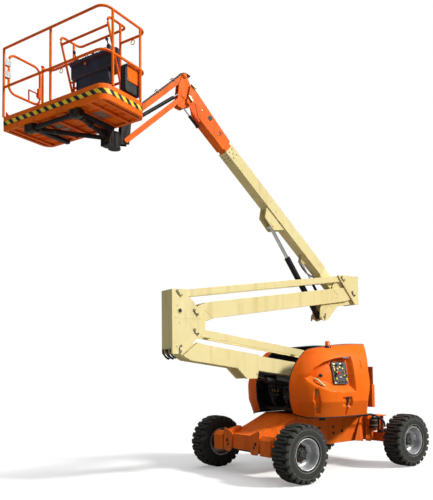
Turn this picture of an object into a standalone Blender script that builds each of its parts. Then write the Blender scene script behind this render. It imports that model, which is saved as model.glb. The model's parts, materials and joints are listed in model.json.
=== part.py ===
"""Articulating boom lift, modelled in metres with +Z up.

The machine stands on flat ground, its booms point along -X and its steered axle is at +X.
The origin is on the ground, under the middle of the overall length.
Side -1 is the near side (-Y) and side +1 is the far side (+Y).
"""
import math

import bmesh
import bpy
from mathutils import Matrix, Vector

# Overall layout
WHEELBASE_CENTRE_X = 1.581
GAP = 0.0003
SIDES = (("near", -1), ("far", 1))

# Wheels and axles
WHEELBASE = 2.36
TRACK = 2.037
DRIVE_X = -WHEELBASE / 2
STEER_X = WHEELBASE / 2
TYRE_RADIUS = 0.42
TYRE_WIDTH = 0.31
RIM_RADIUS = 0.2240
BEAD_RADIUS = 0.2255
LUG_DEPTH = 0.030
LUG_COUNT = 23
LUG_SKEW = 0.13
KINGPIN_Y = 0.76
TIE_ROD_X = STEER_X + 0.18

# Chassis and turntable
CHASSIS_HALF_WIDTH = 0.40
SLEW_X = 0.15
SLEW_RING_Z = (0.905, 0.945)
DECK_Z = (0.95, 0.99)
HOOD_INNER_Y = 0.40
HOOD_THICKNESS = 0.03
HOOD_HINGE = (0.43, 1.93)
BEACON = (-0.165, -0.60)

# Tower: two mirrored parallelograms of equal arms
ARM_LENGTH = 3.33
ARM_TILT = math.radians(8.15)
LOWER_ARM_PIVOT = (0.706, 1.436)
LOWER_LINK_PIVOT = (0.966, 1.681)
UPRIGHT_MIDDLE_Z = 2.2945
UPRIGHT_HALF_WIDTH = 0.145
PLATE = 0.015
BEAM_INNER_Y = 0.101
BEAM_OUTER_Y = 0.124

# Main boom
BOOM_PIVOT = (0.62, 2.95)
BOOM_TILT = math.radians(41.3)
BOOM_LENGTH = 3.05
BOOM_HALF_DEPTH = 0.09
BOOM_HALF_WIDTH = 0.095
LIFT_BASE = (0.241, 2.471)
LIFT_EYE = (1.687, -0.223)

# Boom head and jib
HEAD_PIVOT = (3.936, -0.034)
JIB_ARM_PIN = (-2.426, 5.894)
JIB_LINK_PIN = (-2.463, 5.568)
JIB_LENGTH = 1.24
JIB_TILT = math.radians(-43.1)

# Platform
ROTATOR_X = -3.52
PLATFORM_CORNER = (-4.746, 0.785, 4.855)
PLATFORM_YAW = math.radians(21.0)
PLATFORM_LENGTH = 1.83
PLATFORM_DEPTH = 0.76
RAIL_HEIGHT = 1.10
RAIL_RADIUS = 0.0165
MIDDLE_RAIL = 0.55
CORNER_RADIUS = 0.13
RAIL_BEND = 0.115
TOE_BOARD = (-0.05, 0.145)
HOOP_A = (0.505, 1.381)
HOOP_HEIGHT = 1.345

PAINTS = {
    "orange_paint": ((0.85, 0.13, 0.01), 0.35, 0.0),
    "cream_paint": ((0.80, 0.70, 0.36), 0.40, 0.0),
    "black_paint": ((0.02, 0.022, 0.026), 0.45, 0.0),
    "navy_plastic": ((0.03, 0.035, 0.055), 0.5, 0.0),
    "tyre_rubber": ((0.035, 0.036, 0.032), 0.85, 0.0),
    "rim_paint": ((0.45, 0.45, 0.45), 0.4, 0.6),
    "chrome": ((0.8, 0.8, 0.8), 0.12, 1.0),
    "amber_lens": ((0.95, 0.30, 0.02), 0.2, 0.0),
    "grey_steel": ((0.35, 0.36, 0.37), 0.4, 0.8),
}


def clear_scene():
    for item in list(bpy.data.objects):
        bpy.data.objects.remove(item, do_unlink=True)


def make_materials():
    table = {}
    for name, (colour, roughness, metallic) in PAINTS.items():
        material = bpy.data.materials.new(name)
        material.use_nodes = True
        surface = material.node_tree.nodes["Principled BSDF"]
        surface.inputs["Base Color"].default_value = (*colour, 1.0)
        surface.inputs["Roughness"].default_value = roughness
        surface.inputs["Metallic"].default_value = metallic
        table[name] = material
    return table


# Basic shapes, each a closed mesh in machine coordinates
def prism(outline, y0, y1):
    """Extrude an outline of (x, z) points along Y."""
    mesh = bmesh.new()
    first = [mesh.verts.new((x, y0, z)) for x, z in outline]
    second = [mesh.verts.new((x, y1, z)) for x, z in outline]
    count = len(outline)
    mesh.faces.new(first)
    mesh.faces.new(second)
    for i in range(count):
        j = (i + 1) % count
        mesh.faces.new((first[i], first[j], second[j], second[i]))
    bmesh.ops.recalc_face_normals(mesh, faces=mesh.faces)
    return mesh


def slab(outline, z0, z1):
    """Extrude an outline of (x, y) points along Z."""
    mesh = bmesh.new()
    low = [mesh.verts.new((x, y, z0)) for x, y in outline]
    high = [mesh.verts.new((x, y, z1)) for x, y in outline]
    count = len(outline)
    mesh.faces.new(low)
    mesh.faces.new(high)
    for i in range(count):
        j = (i + 1) % count
        mesh.faces.new((low[i], low[j], high[j], high[i]))
    bmesh.ops.recalc_face_normals(mesh, faces=mesh.faces)
    return mesh


def box(x0, x1, y0, y1, z0, z1):
    return prism([(x0, z0), (x1, z0), (x1, z1), (x0, z1)], y0, y1)


def rod(start, end, radius, sides=16, end_radius=None):
    """A cylinder, or a cone where end_radius differs, between two points."""
    start = Vector(start)
    end = Vector(end)
    mesh = bmesh.new()
    length = (end - start).length
    turn = (end - start).to_track_quat("Z", "Y").to_matrix().to_4x4()
    place = Matrix.Translation((start + end) / 2) @ turn
    radius2 = radius if end_radius is None else end_radius
    bmesh.ops.create_cone(mesh, cap_ends=True, segments=sides, radius1=radius,
                          radius2=radius2, depth=length, matrix=place)
    return mesh


def cross_pin(point, y0, y1, radius, sides=14):
    """A pin along Y through an (x, z) point."""
    return rod((point[0], y0, point[1]), (point[0], y1, point[1]), radius, sides)


def turned(profile, centre, sides, direction=-1):
    """Spin (outboard distance, radius) points about a Y axis through centre."""
    mesh = bmesh.new()
    cx, cy, cz = centre
    rings = []
    for distance, radius in profile:
        if radius == 0:
            rings.append([mesh.verts.new((cx, cy + direction * distance, cz))])
            continue
        ring = []
        for i in range(sides):
            angle = 2 * math.pi * i / sides
            ring.append(mesh.verts.new((cx + radius * math.cos(angle),
                                        cy + direction * distance,
                                        cz + radius * math.sin(angle))))
        rings.append(ring)
    for first, second in zip(rings, rings[1:]):
        for i in range(sides):
            j = (i + 1) % sides
            if len(first) == 1:
                mesh.faces.new((first[0], second[i], second[j]))
            elif len(second) == 1:
                mesh.faces.new((first[i], second[0], first[j]))
            else:
                mesh.faces.new((first[i], second[i], second[j], first[j]))
    bmesh.ops.recalc_face_normals(mesh, faces=mesh.faces)
    return mesh


def rounded_path(points, radius, steps=4, closed=False):
    """Points of a path whose corners are arcs."""
    points = [Vector(p) for p in points]
    count = len(points)
    result = []
    for i, corner in enumerate(points):
        if not closed and i in (0, count - 1):
            result.append(corner)
            continue
        before = (points[i - 1] - corner).normalized()
        after = (points[(i + 1) % count] - corner).normalized()
        half = before.angle(after) / 2
        reach = radius / math.tan(half)
        centre = corner + (before + after).normalized() * (radius / math.sin(half))
        start = corner + before * reach - centre
        end = corner + after * reach - centre
        for k in range(steps + 1):
            result.append(centre + start.slerp(end, k / steps).normalized() * radius)
    return result


def tube(points, radius, sides=8, closed=False):
    """A round tube along a path, with flat caps where it is open."""
    mesh = bmesh.new()
    count = len(points)
    rings = []
    up = Vector((0, 0, 1))
    for i, point in enumerate(points):
        before = points[i - 1] if (i > 0 or closed) else point
        after = points[(i + 1) % count] if (i < count - 1 or closed) else point
        along = (Vector(after) - Vector(before)).normalized()
        side = along.cross(up)
        if side.length < 0.05:
            side = along.cross(Vector((0.6, 0.8, 0)))
        side.normalize()
        lift = side.cross(along)
        ring = []
        for k in range(sides):
            angle = 2 * math.pi * (k + 0.5) / sides
            offset = side * math.cos(angle) + lift * math.sin(angle)
            ring.append(mesh.verts.new(Vector(point) + offset * radius))
        rings.append(ring)
    pairs = list(zip(rings, rings[1:]))
    if closed:
        pairs.append((rings[-1], rings[0]))
    for first, second in pairs:
        for k in range(sides):
            m = (k + 1) % sides
            mesh.faces.new((first[k], first[m], second[m], second[k]))
    if not closed:
        mesh.faces.new(rings[0])
        mesh.faces.new(rings[-1])
    bmesh.ops.recalc_face_normals(mesh, faces=mesh.faces)
    return mesh


# Building a node: fused shapes less cut shapes, with its origin on its own pivot
def temporary_object(mesh):
    data = bpy.data.meshes.new("shape")
    mesh.to_mesh(data)
    mesh.free()
    item = bpy.data.objects.new("shape", data)
    bpy.context.collection.objects.link(item)
    return item


def fused(parts, cutters=()):
    base = temporary_object(parts[0])
    helpers = []
    jobs = [(part, "UNION") for part in parts[1:]]
    jobs += [(cutter, "DIFFERENCE") for cutter in cutters]
    for mesh, operation in jobs:
        helper = temporary_object(mesh)
        helpers.append(helper)
        modifier = base.modifiers.new(operation, "BOOLEAN")
        modifier.operation = operation
        modifier.solver = "EXACT"
        modifier.object = helper
    graph = bpy.context.evaluated_depsgraph_get()
    data = bpy.data.meshes.new_from_object(base.evaluated_get(graph))
    for item in [base, *helpers]:
        bpy.data.objects.remove(item, do_unlink=True)
    return data


def node(name, material, pivot, parts, cutters=(), smooth=False):
    """One sub-part, made of closed shapes, with its origin at pivot."""
    data = fused(parts, cutters)
    data.name = name
    data.transform(Matrix.Translation(-Vector(pivot)))
    data.materials.clear()
    data.materials.append(MATERIALS[material])
    if smooth:
        data.shade_smooth()
        data.set_sharp_from_angle(angle=math.radians(35))
    item = bpy.data.objects.new(name, data)
    item.location = pivot
    item.parent = MACHINE
    bpy.context.collection.objects.link(item)
    return item


def on_axis(point, y=0.0):
    return (point[0], y, point[1])


# Points along the arms
def along(pivot, tilt, distance, offset=0.0):
    """A point on an arm that points to -X and rises by tilt."""
    x = pivot[0] - distance * math.cos(tilt) + offset * math.sin(tilt)
    z = pivot[1] + distance * math.sin(tilt) + offset * math.cos(tilt)
    return (x, z)


def arm_outline(pivot, tilt, local):
    return [along(pivot, tilt, distance, offset) for distance, offset in local]


def mirrored(point):
    """The lower parallelogram's point, mirrored into the upper one."""
    return (point[0], 2 * UPRIGHT_MIDDLE_Z - point[1])


LOWER_ARM_TIP = along(LOWER_ARM_PIVOT, ARM_TILT, ARM_LENGTH)
LOWER_LINK_TIP = along(LOWER_LINK_PIVOT, ARM_TILT, ARM_LENGTH)
UPPER_ARM_PIN = mirrored(LOWER_LINK_TIP)
UPPER_LINK_PIN = mirrored(LOWER_ARM_TIP)
UPPER_ARM_TIP = mirrored(LOWER_LINK_PIVOT)
UPPER_LINK_TIP = mirrored(LOWER_ARM_PIVOT)
JIB_ARM_TIP = along(JIB_ARM_PIN, JIB_TILT, JIB_LENGTH)
JIB_LINK_TIP = along(JIB_LINK_PIN, JIB_TILT, JIB_LENGTH)


def boom_point(distance, offset=0.0):
    return along(BOOM_PIVOT, BOOM_TILT, distance, offset)


def boom_outline(local):
    return [boom_point(distance, offset) for distance, offset in local]


LIFT_EYE_POINT = boom_point(*LIFT_EYE)
HEAD_POINT = boom_point(*HEAD_PIVOT)
TOWER_CYLINDER_BASE = (0.42, 1.14)
TOWER_CYLINDER_EYE = (-1.27, 1.506)
LEVEL_MASTER_BASE = (0.36, 2.70)
LEVEL_MASTER_EYE = boom_point(0.845, -0.170)
LEVEL_SLAVE_BASE = boom_point(3.60, -0.150)
LEVEL_SLAVE_EYE = (-2.444, 5.448)
JIB_CYLINDER_BASE = along(JIB_ARM_PIN, JIB_TILT, 1.06, -0.075)
JIB_CYLINDER_EYE = (-2.505, 5.615)
BORE_FLOOR = 0.02
ROD_CLEARANCE = 0.002


# Wheels
def tyre_mesh():
    """A ring of columns whose tread rows step in and out to form the lugs."""
    half = TYRE_WIDTH / 2
    shoulder = 0.362
    base = TYRE_RADIUS - LUG_DEPTH
    # y, radius on a lug, radius in a gap, half pitch shift
    rows = [(-0.128, BEAD_RADIUS, BEAD_RADIUS, 0), (-half, shoulder, shoulder, 0),
            (-0.138, TYRE_RADIUS, base, 0), (-0.012, TYRE_RADIUS, base, 0),
            (0.012, TYRE_RADIUS, base, 1), (0.138, TYRE_RADIUS, base, 1),
            (half, shoulder, shoulder, 0), (0.128, BEAD_RADIUS, BEAD_RADIUS, 0)]
    steps = (0.0, 0.44, 0.54, 0.90)
    raised = (True, True, False, False)
    columns = LUG_COUNT * len(steps)
    mesh = bmesh.new()
    grid = []
    for column in range(columns):
        lug, step = divmod(column, len(steps))
        ring = []
        for y, top, low, shift in rows:
            high = raised[(step + 2 * shift) % len(steps)]
            radius = top if high else low
            skew = LUG_SKEW * (abs(y) / half if low != top else 1.0)
            angle = 2 * math.pi * (lug + steps[step]) / LUG_COUNT - skew
            ring.append(mesh.verts.new((radius * math.cos(angle), y, radius * math.sin(angle))))
        grid.append(ring)
    for column in range(columns):
        first = grid[column]
        second = grid[(column + 1) % columns]
        for row in range(len(rows)):
            nxt = (row + 1) % len(rows)
            mesh.faces.new((first[row], first[nxt], second[nxt], second[row]))
    bmesh.ops.recalc_face_normals(mesh, faces=mesh.faces)
    data = bpy.data.meshes.new("tyre")
    mesh.to_mesh(data)
    mesh.free()
    data.materials.append(MATERIALS["tyre_rubber"])
    return data


# outboard distance from the tyre's middle, radius
RIM_PROFILE = [(0.0, 0.0), (0.0, 0.190), (-0.130, 0.205), (-0.130, RIM_RADIUS), (0.146, RIM_RADIUS),
               (0.146, 0.211), (0.030, 0.198), (0.020, 0.135), (0.060, 0.115), (0.075, 0.090),
               (0.075, 0.0)]


def build_wheels():
    tread = tyre_mesh()
    for end, x in (("drive", DRIVE_X), ("steer", STEER_X)):
        for side, sign in SIDES:
            centre = (x, sign * TRACK / 2, TYRE_RADIUS)
            item = bpy.data.objects.new(f"tyre_{end}_{side}", tread)
            item.location = centre
            item.rotation_euler.z = 0 if sign < 0 else math.pi
            item.parent = MACHINE
            bpy.context.collection.objects.link(item)
            node(f"rim_{end}_{side}", "rim_paint", centre,
                 [turned(RIM_PROFILE, centre, 28, sign)], smooth=True)


def build_axles():
    z = TYRE_RADIUS
    hub_end = TRACK / 2 - 0.006
    drive = [box(DRIVE_X - 0.085, DRIVE_X + 0.085, -0.72, 0.72, z - 0.085, z + 0.085)]
    for _, sign in SIDES:
        drive.append(rod((DRIVE_X, sign * 0.68, z), (DRIVE_X, sign * hub_end, z), 0.125, 20))
    node("drive_axle", "black_paint", (DRIVE_X, 0, z), drive)
    steer = [box(STEER_X - 0.06, STEER_X + 0.06, -0.64, 0.64, z - 0.065, z + 0.075)]
    for _, sign in SIDES:
        inner, outer = sorted((sign * 0.60, sign * 0.65))
        steer.append(box(STEER_X - 0.055, STEER_X + 0.055, inner, outer, z - 0.155, z + 0.155))
        inner, outer = sorted((sign * 0.62, sign * 0.80))
        for low in (z - 0.155, z + 0.125):
            steer.append(box(STEER_X - 0.05, STEER_X + 0.05, inner, outer, low, low + 0.03))
    node("steer_axle", "orange_paint", (STEER_X, 0, z), steer)
    for side, sign in SIDES:
        build_knuckle(side, sign, z)
        node(f"lockout_cylinder_{side}", "black_paint", (STEER_X, sign * 0.49, z),
             [rod((STEER_X, sign * 0.49, z + 0.0756), (STEER_X, sign * 0.49, z + 0.36), 0.055, 18)])
    rod_ends = 0.75
    bar = [rod((TIE_ROD_X, -rod_ends, z - 0.010), (TIE_ROD_X, rod_ends, z - 0.010), 0.016, 10)]
    node("tie_rod", "grey_steel", (TIE_ROD_X, 0, z), bar)


def build_knuckle(side, sign, z):
    kingpin = (STEER_X, sign * KINGPIN_Y, z)
    inner, outer = sorted((sign * 0.705, sign * 0.815))
    body = box(STEER_X - 0.055, STEER_X + 0.055, inner, outer, z - 0.118, z + 0.118)
    spindle = rod((STEER_X, sign * 0.80, z), (STEER_X, sign * (TRACK / 2 - 0.006), z), 0.105, 20)
    inner, outer = sorted((sign * 0.735, sign * 0.79))
    arm = box(STEER_X, TIE_ROD_X + 0.03, inner, outer, z - 0.060, z - 0.034)
    node(f"knuckle_{side}", "black_paint", kingpin, [body, spindle, arm])


# Chassis
SIDE_PLATE = [(-1.30, 0.545), (-1.30, 0.62), (-0.985, 0.744), (-0.62, 0.90), (0.80, 0.90),
              (1.02, 0.80), (1.24, 0.62), (1.24, 0.52), (1.06, 0.52), (1.06, 0.40),
              (0.539, 0.396), (-0.95, 0.385), (-1.02, 0.545)]


def build_chassis():
    w = CHASSIS_HALF_WIDTH
    parts = [prism(SIDE_PLATE, sign * w, sign * (w - PLATE)) for _, sign in SIDES]
    deck = [(-1.30, 0.60), (-1.30, 0.62), (-0.985, 0.744), (-0.62, 0.90), (0.80, 0.90),
            (0.80, 0.88), (-0.61, 0.88), (-0.98, 0.722)]
    parts.append(prism(deck, -w + 0.002, w - 0.002))
    parts.append(box(-1.43, -1.29, -0.42, 0.42, 0.40, 0.62))
    parts.append(box(-1.42, -1.315, -0.76, 0.76, 0.44, 0.60))
    for y in (-0.36, 0.36):
        parts.append(prism([(-1.44, 0.40), (-1.44, 0.66), (-1.20, 0.72), (-1.20, 0.545),
                             (-1.28, 0.53), (-1.28, 0.40)],
                           y - 0.06, y + 0.06))
    for x0, x1, z0, z1 in ((-0.30, -0.26, 0.40, 0.89), (0.50, 0.54, 0.41, 0.89), (1.00, 1.04, 0.42, 0.79)):
        parts.append(box(x0, x1, -w + 0.004, w - 0.004, z0, z1))
    shelf_z = TYRE_RADIUS + 0.3604
    for _, sign in SIDES:
        inner, outer = sorted((sign * (w - 0.01), sign * 0.56))
        parts.append(box(1.00, 1.25, inner, outer, shelf_z, shelf_z + 0.015))
        parts.append(prism([(0.99, 0.42), (1.03, 0.42), (1.03, 0.79), (0.86, 0.79)],
                           sign * (w - 0.01), sign * 0.47))
    parts.append(box(1.03, 1.25, -w + 0.004, w - 0.004, shelf_z, shelf_z + 0.015))
    node("chassis_frame", "orange_paint", (0, 0, TYRE_RADIUS), parts)
    ring = rod((SLEW_X, 0, 0.9003), (SLEW_X, 0, SLEW_RING_Z[1]), 0.39, 36)
    node("slew_ring", "black_paint", (SLEW_X, 0, 0.9), [ring])


# Turntable
# height, front x, rear x, half width
HOOD_LEVELS = [(0.92, -0.74, 0.95, 0.88), (1.10, -0.80, 0.99, 0.98), (1.34, -0.815, 1.04, 0.975),
               (1.55, -0.76, 1.01, 0.945), (1.70, -0.66, 0.99, 0.90), (1.82, -0.54, 0.965, 0.84),
               (1.90, -0.42, 0.945, 0.77), (1.95, -0.12, 0.925, 0.68), (1.98, 0.20, 0.905, 0.57),
               (1.998, 0.50, 0.89, 0.48)]
HOOD_SHAPE = 2.6
TAIL_SLOPE = 1.16


def hood_section(front, rear, half_width, inset=0.0, steps=14):
    """The plan of a hood at one height: half a superellipse, cut off slantwise at its rear corner."""
    middle = (front + rear) / 2
    reach = (rear - front) / 2 - inset
    bulge = half_width - HOOD_INNER_Y - inset
    points = []
    for k in range(steps + 1):
        angle = math.pi * k / steps
        c, s = math.cos(angle), math.sin(angle)
        x = middle - math.copysign(abs(c) ** (2 / HOOD_SHAPE), c) * reach
        y = HOOD_INNER_Y + abs(s) ** (2 / HOOD_SHAPE) * bulge
        points.append((min(x, rear - inset - TAIL_SLOPE * (y - HOOD_INNER_Y)), y))
    return points


def hood_shell(sign):
    """A shell open at the bottom and on the inner side."""
    mesh = bmesh.new()
    outer = []
    inner = []
    for index, (z, front, rear, half_width) in enumerate(HOOD_LEVELS):
        outer.append([mesh.verts.new((x, sign * y, z)) for x, y in hood_section(front, rear, half_width)])
        drop = 0 if index == 0 else HOOD_THICKNESS * index / (len(HOOD_LEVELS) - 1)
        section = hood_section(front + HOOD_THICKNESS, rear - HOOD_THICKNESS, half_width - HOOD_THICKNESS)
        inner.append([mesh.verts.new((x, sign * y, z - drop)) for x, y in section])

    def quads(grid):
        for low, high in zip(grid, grid[1:]):
            for k in range(len(low) - 1):
                mesh.faces.new((low[k], low[k + 1], high[k + 1], high[k]))

    quads(outer)
    quads(inner)
    count = len(outer[0])
    for k in range(count - 1):
        mesh.faces.new((outer[0][k], outer[0][k + 1], inner[0][k + 1], inner[0][k]))
    for end in (0, count - 1):
        for row in range(len(outer) - 1):
            mesh.faces.new((outer[row][end], outer[row + 1][end], inner[row + 1][end], inner[row][end]))
    mesh.faces.new(outer[-1])
    mesh.faces.new(inner[-1])
    mesh.faces.new((outer[-1][0], outer[-1][-1], inner[-1][-1], inner[-1][0]))
    bmesh.ops.recalc_face_normals(mesh, faces=mesh.faces)
    return mesh


def build_turntable():
    z0, z1 = DECK_Z
    tray = hood_section(-0.66, 0.90, 0.80)
    outline = [(x, -y) for x, y in tray] + [(x, y) for x, y in reversed(tray)]
    parts = [slab(outline, z0, z1)]
    tower_plate = [(0.30, 0.98), (1.14, 0.98), (1.14, 1.74), (0.93, 1.76), (0.60, 1.53), (0.30, 1.20)]
    for _, sign in SIDES:
        parts.append(prism(tower_plate, sign * 0.131, sign * 0.150))
        parts.append(cross_pin(LOWER_ARM_PIVOT, sign * 0.104, sign * 0.165, 0.035))
        parts.append(cross_pin(LOWER_LINK_PIVOT, sign * 0.140, sign * 0.165, 0.030))
        parts.append(cross_pin(TOWER_CYLINDER_BASE, sign * 0.055, sign * 0.165, 0.028))
    parts.append(box(1.12, 1.14, -0.14, 0.14, 0.98, 1.74))
    node("turntable_frame", "black_paint", (SLEW_X, 0, z0), parts)
    weight = [(1.155, -0.38), (1.21, -0.30), (1.25, 0.0), (1.21, 0.30), (1.155, 0.38)]
    node("counterweight", "orange_paint", (SLEW_X, 0, z0), [slab(weight, 0.96, 1.62),
         slab([(1.10, -0.395), (1.17, -0.395), (1.17, 0.395), (1.10, 0.395)], 0.925, 1.31)],
         [box(1.09, 1.1405, -0.151, 0.151, 0.9, 1.75)])
    node("engine_block", "black_paint", (SLEW_X, 0, z0), [box(-0.35, 0.45, 0.43, 0.78, 0.9903, 1.50)])
    node("battery_tank_block", "black_paint", (SLEW_X, 0, z0), [box(-0.30, 0.45, -0.78, -0.43, 0.9903, 1.30)])
    for side, sign in SIDES:
        node(f"hood_{side}", "orange_paint", (SLEW_X, sign * HOOD_HINGE[0], HOOD_HINGE[1]),
             [hood_shell(sign)], smooth=True)
    x, y = BEACON
    node("beacon", "amber_lens", (x, y, 1.96),
         [rod((x, y, 1.9505), (x, y, 2.035), 0.048, 16, 0.040)], smooth=True)


# Tower
def build_tower():
    half = UPRIGHT_HALF_WIDTH
    # lower arm: a box tube with wide side plates at its outer end
    core = arm_outline(LOWER_ARM_PIVOT, ARM_TILT, [(-0.07, -0.05), (-0.07, 0.06), (0.15, 0.115),
                                                   (3.10, 0.105), (3.36, 0.06), (3.39, 0.0),
                                                   (3.36, -0.06), (3.10, -0.115), (0.15, -0.115)])
    wide = [(-2.305, 2.000), (-2.545, 1.811), (-2.424, 1.745), (-1.60, 1.628), (-1.422, 1.465),
            (-1.225, 1.467), (-1.196, 1.600), (-1.196, 1.826), (-2.09, 1.954)]
    parts = [prism(core, -0.095, 0.095)]
    for _, sign in SIDES:
        parts.append(prism(wide, sign * 0.094, sign * 0.112))
        parts.append(prism(wide, sign * 0.111, sign * half))
    bores = [cross_pin(LOWER_ARM_PIVOT, -0.2, 0.2, 0.036)]
    cavity = prism([(-1.60, 1.55), (-1.60, 1.40), (-1.10, 1.40), (-1.10, 1.56)], -0.06, 0.06)
    node("lower_arm", "cream_paint", on_axis(LOWER_ARM_PIVOT), parts, [cavity, *bores])
    link = [(-0.05, -0.03), (-0.05, 0.03), (0.0, 0.052), (3.33, 0.052), (3.38, 0.03), (3.38, -0.03),
            (3.33, -0.052), (0.0, -0.052)]
    low_link = arm_outline(LOWER_LINK_PIVOT, ARM_TILT, link)
    parts = [prism(low_link, sign * BEAM_INNER_Y, sign * BEAM_OUTER_Y) for _, sign in SIDES]
    for distance in (1.2, 2.95):
        tie = arm_outline(LOWER_LINK_PIVOT, ARM_TILT, [(distance, -0.03), (distance, 0.03),
                          (distance + 0.06, 0.03), (distance + 0.06, -0.03)])
        parts.append(prism(tie, -BEAM_INNER_Y - 0.005, BEAM_INNER_Y + 0.005))
    node("lower_link", "cream_paint", on_axis(LOWER_LINK_PIVOT), parts)
    build_tower_upright(half)
    # upper arm and link: twin beams, so that the main boom and its cylinder pass between
    beam = [(-0.10, -0.04), (-0.05, -0.085), (0.20, -0.122), (3.02, -0.122), (3.20, -0.16), (3.29, -0.10),
            (3.38, -0.02), (3.37, 0.04), (3.20, 0.10), (3.02, 0.122), (0.25, 0.122), (0.0, 0.09),
            (-0.10, 0.03)]
    rise = arm_outline(UPPER_ARM_TIP, -ARM_TILT, beam)
    parts = [prism(rise, sign * BEAM_INNER_Y, sign * BEAM_OUTER_Y) for _, sign in SIDES]
    tie = arm_outline(UPPER_ARM_TIP, -ARM_TILT, [(3.0, -0.09), (3.0, 0.09), (3.14, 0.09), (3.14, -0.09)])
    parts.append(prism(tie, -BEAM_INNER_Y - 0.005, BEAM_INNER_Y + 0.005))
    node("upper_arm", "cream_paint", on_axis(UPPER_ARM_PIN), parts)
    rise = arm_outline(UPPER_LINK_TIP, -ARM_TILT, link)
    parts = [prism(rise, sign * BEAM_INNER_Y, sign * BEAM_OUTER_Y) for _, sign in SIDES]
    tie = arm_outline(UPPER_LINK_TIP, -ARM_TILT, [(3.0, -0.03), (3.0, 0.03), (3.06, 0.03), (3.06, -0.03)])
    parts.append(prism(tie, -BEAM_INNER_Y - 0.005, BEAM_INNER_Y + 0.005))
    node("upper_link", "cream_paint", on_axis(UPPER_LINK_PIN), parts)
    build_boom_upright(half)


def build_tower_upright(half):
    plate = [(-2.724, 2.740), (-2.505, 2.749), (-2.453, 2.647), (-2.353, 2.561), (-2.174, 2.330),
             (-2.176, 2.170), (-2.304, 2.061), (-2.560, 1.837), (-2.724, 1.837)]
    parts = [box(-2.724, -2.708, -half + 0.001, half - 0.001, 1.838, 2.739)]
    for _, sign in SIDES:
        parts.append(prism(plate, sign * (half - PLATE), sign * half))
        for pin in (LOWER_ARM_TIP, LOWER_LINK_TIP, UPPER_ARM_PIN, UPPER_LINK_PIN):
            parts.append(cross_pin(pin, sign * (half - 0.005), sign * (half + 0.02), 0.022))
    node("tower_upright", "cream_paint", on_axis(LOWER_ARM_TIP), parts)


def build_boom_upright(half):
    plate = [(0.588, 3.205), (1.094, 3.212), (1.100, 2.719), (1.006, 2.714), (0.64, 3.14)]
    inner = [(1.09, 2.78), (1.09, 3.18), (0.66, 3.18), (0.50, 3.02), (0.50, 2.86), (0.22, 2.66),
             (0.195, 2.602), (0.186, 2.446), (0.294, 2.403), (0.395, 2.438), (0.60, 2.66), (0.95, 2.72)]
    parts = [box(1.080, 1.098, -half + 0.001, half - 0.001, 2.72, 3.21)]
    for _, sign in SIDES:
        parts.append(prism(plate, sign * (half - PLATE), sign * half))
        parts.append(prism(inner, sign * 0.080, sign * 0.095))
        parts.append(cross_pin(BOOM_PIVOT, sign * 0.076, sign * 0.098, 0.05, 18))
        for pin in (UPPER_LINK_TIP, UPPER_ARM_TIP):
            parts.append(cross_pin(pin, sign * (half - 0.005), sign * (half + 0.02), 0.022))
        parts.append(cross_pin(LIFT_BASE, sign * 0.053, sign * 0.098, 0.028))
    node("boom_upright", "cream_paint", on_axis(UPPER_ARM_TIP), parts)


# Main boom, fly boom and head
def build_boom():
    w = BOOM_HALF_WIDTH
    d = BOOM_HALF_DEPTH
    root = boom_outline([(-0.09, -0.06), (-0.09, 0.06), (-0.05, d), (0.47, d), (0.47, -d), (-0.05, -d)])
    tube_shape = boom_outline([(0.45, -d), (0.45, d), (BOOM_LENGTH, d), (BOOM_LENGTH, -d)])
    hollow = boom_outline([(0.60, -d + 0.012), (0.60, d - 0.012), (3.10, d - 0.012), (3.10, -d + 0.012)])
    lug = boom_outline([(1.985, -0.085), (1.891, -0.253), (1.671, -0.275), (1.623, -0.270), (1.474, -0.085)])
    ear = boom_outline([(0.95, -0.085), (0.885, -0.195), (0.805, -0.195), (0.74, -0.085)])
    parts = [prism(root, -0.072, 0.072), prism(tube_shape, -w, w)]
    for _, sign in SIDES:
        parts.append(prism(lug, sign * 0.060, sign * 0.078))
        parts.append(cross_pin(LIFT_EYE_POINT, sign * 0.052, sign * 0.085, 0.028))
        parts.append(prism(ear, sign * 0.024, sign * 0.032))
    node("boom_base", "cream_paint", on_axis(BOOM_PIVOT), parts, [prism(hollow, -w + 0.010, w - 0.010)])
    carrier = boom_outline([(2.15, 0.02), (2.15, 0.085), (3.0, 0.085), (3.0, 0.02)])
    node("track_carrier", "cream_paint", on_axis(BOOM_PIVOT),
         [prism(carrier, w + GAP, 0.165)])
    # fly boom: the tube inside the base, then the wider nose and its two head plates
    inside = boom_outline([(0.70, -0.070), (0.70, 0.070), (3.20, 0.070), (3.20, -0.070)])
    nose = boom_outline([(3.10, -0.093), (3.10, 0.106), (3.62, 0.145), (3.62, -0.093)])
    cheek = boom_outline([(3.60, -0.093), (3.60, 0.143), (4.09, 0.185), (4.08, 0.150), (3.99, -0.02),
                          (3.96, -0.085), (3.90, -0.085), (3.86, 0.02), (3.70, -0.093)])
    parts = [prism(inside, -0.078, 0.078), prism(nose, -0.0805, 0.0805)]
    for _, sign in SIDES:
        parts.append(prism(cheek, sign * 0.0685, sign * 0.0805))
        parts.append(cross_pin(HEAD_POINT, sign * 0.052, sign * 0.083, 0.020))
    node("fly_boom", "orange_paint", on_axis(BOOM_PIVOT), parts)


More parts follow.
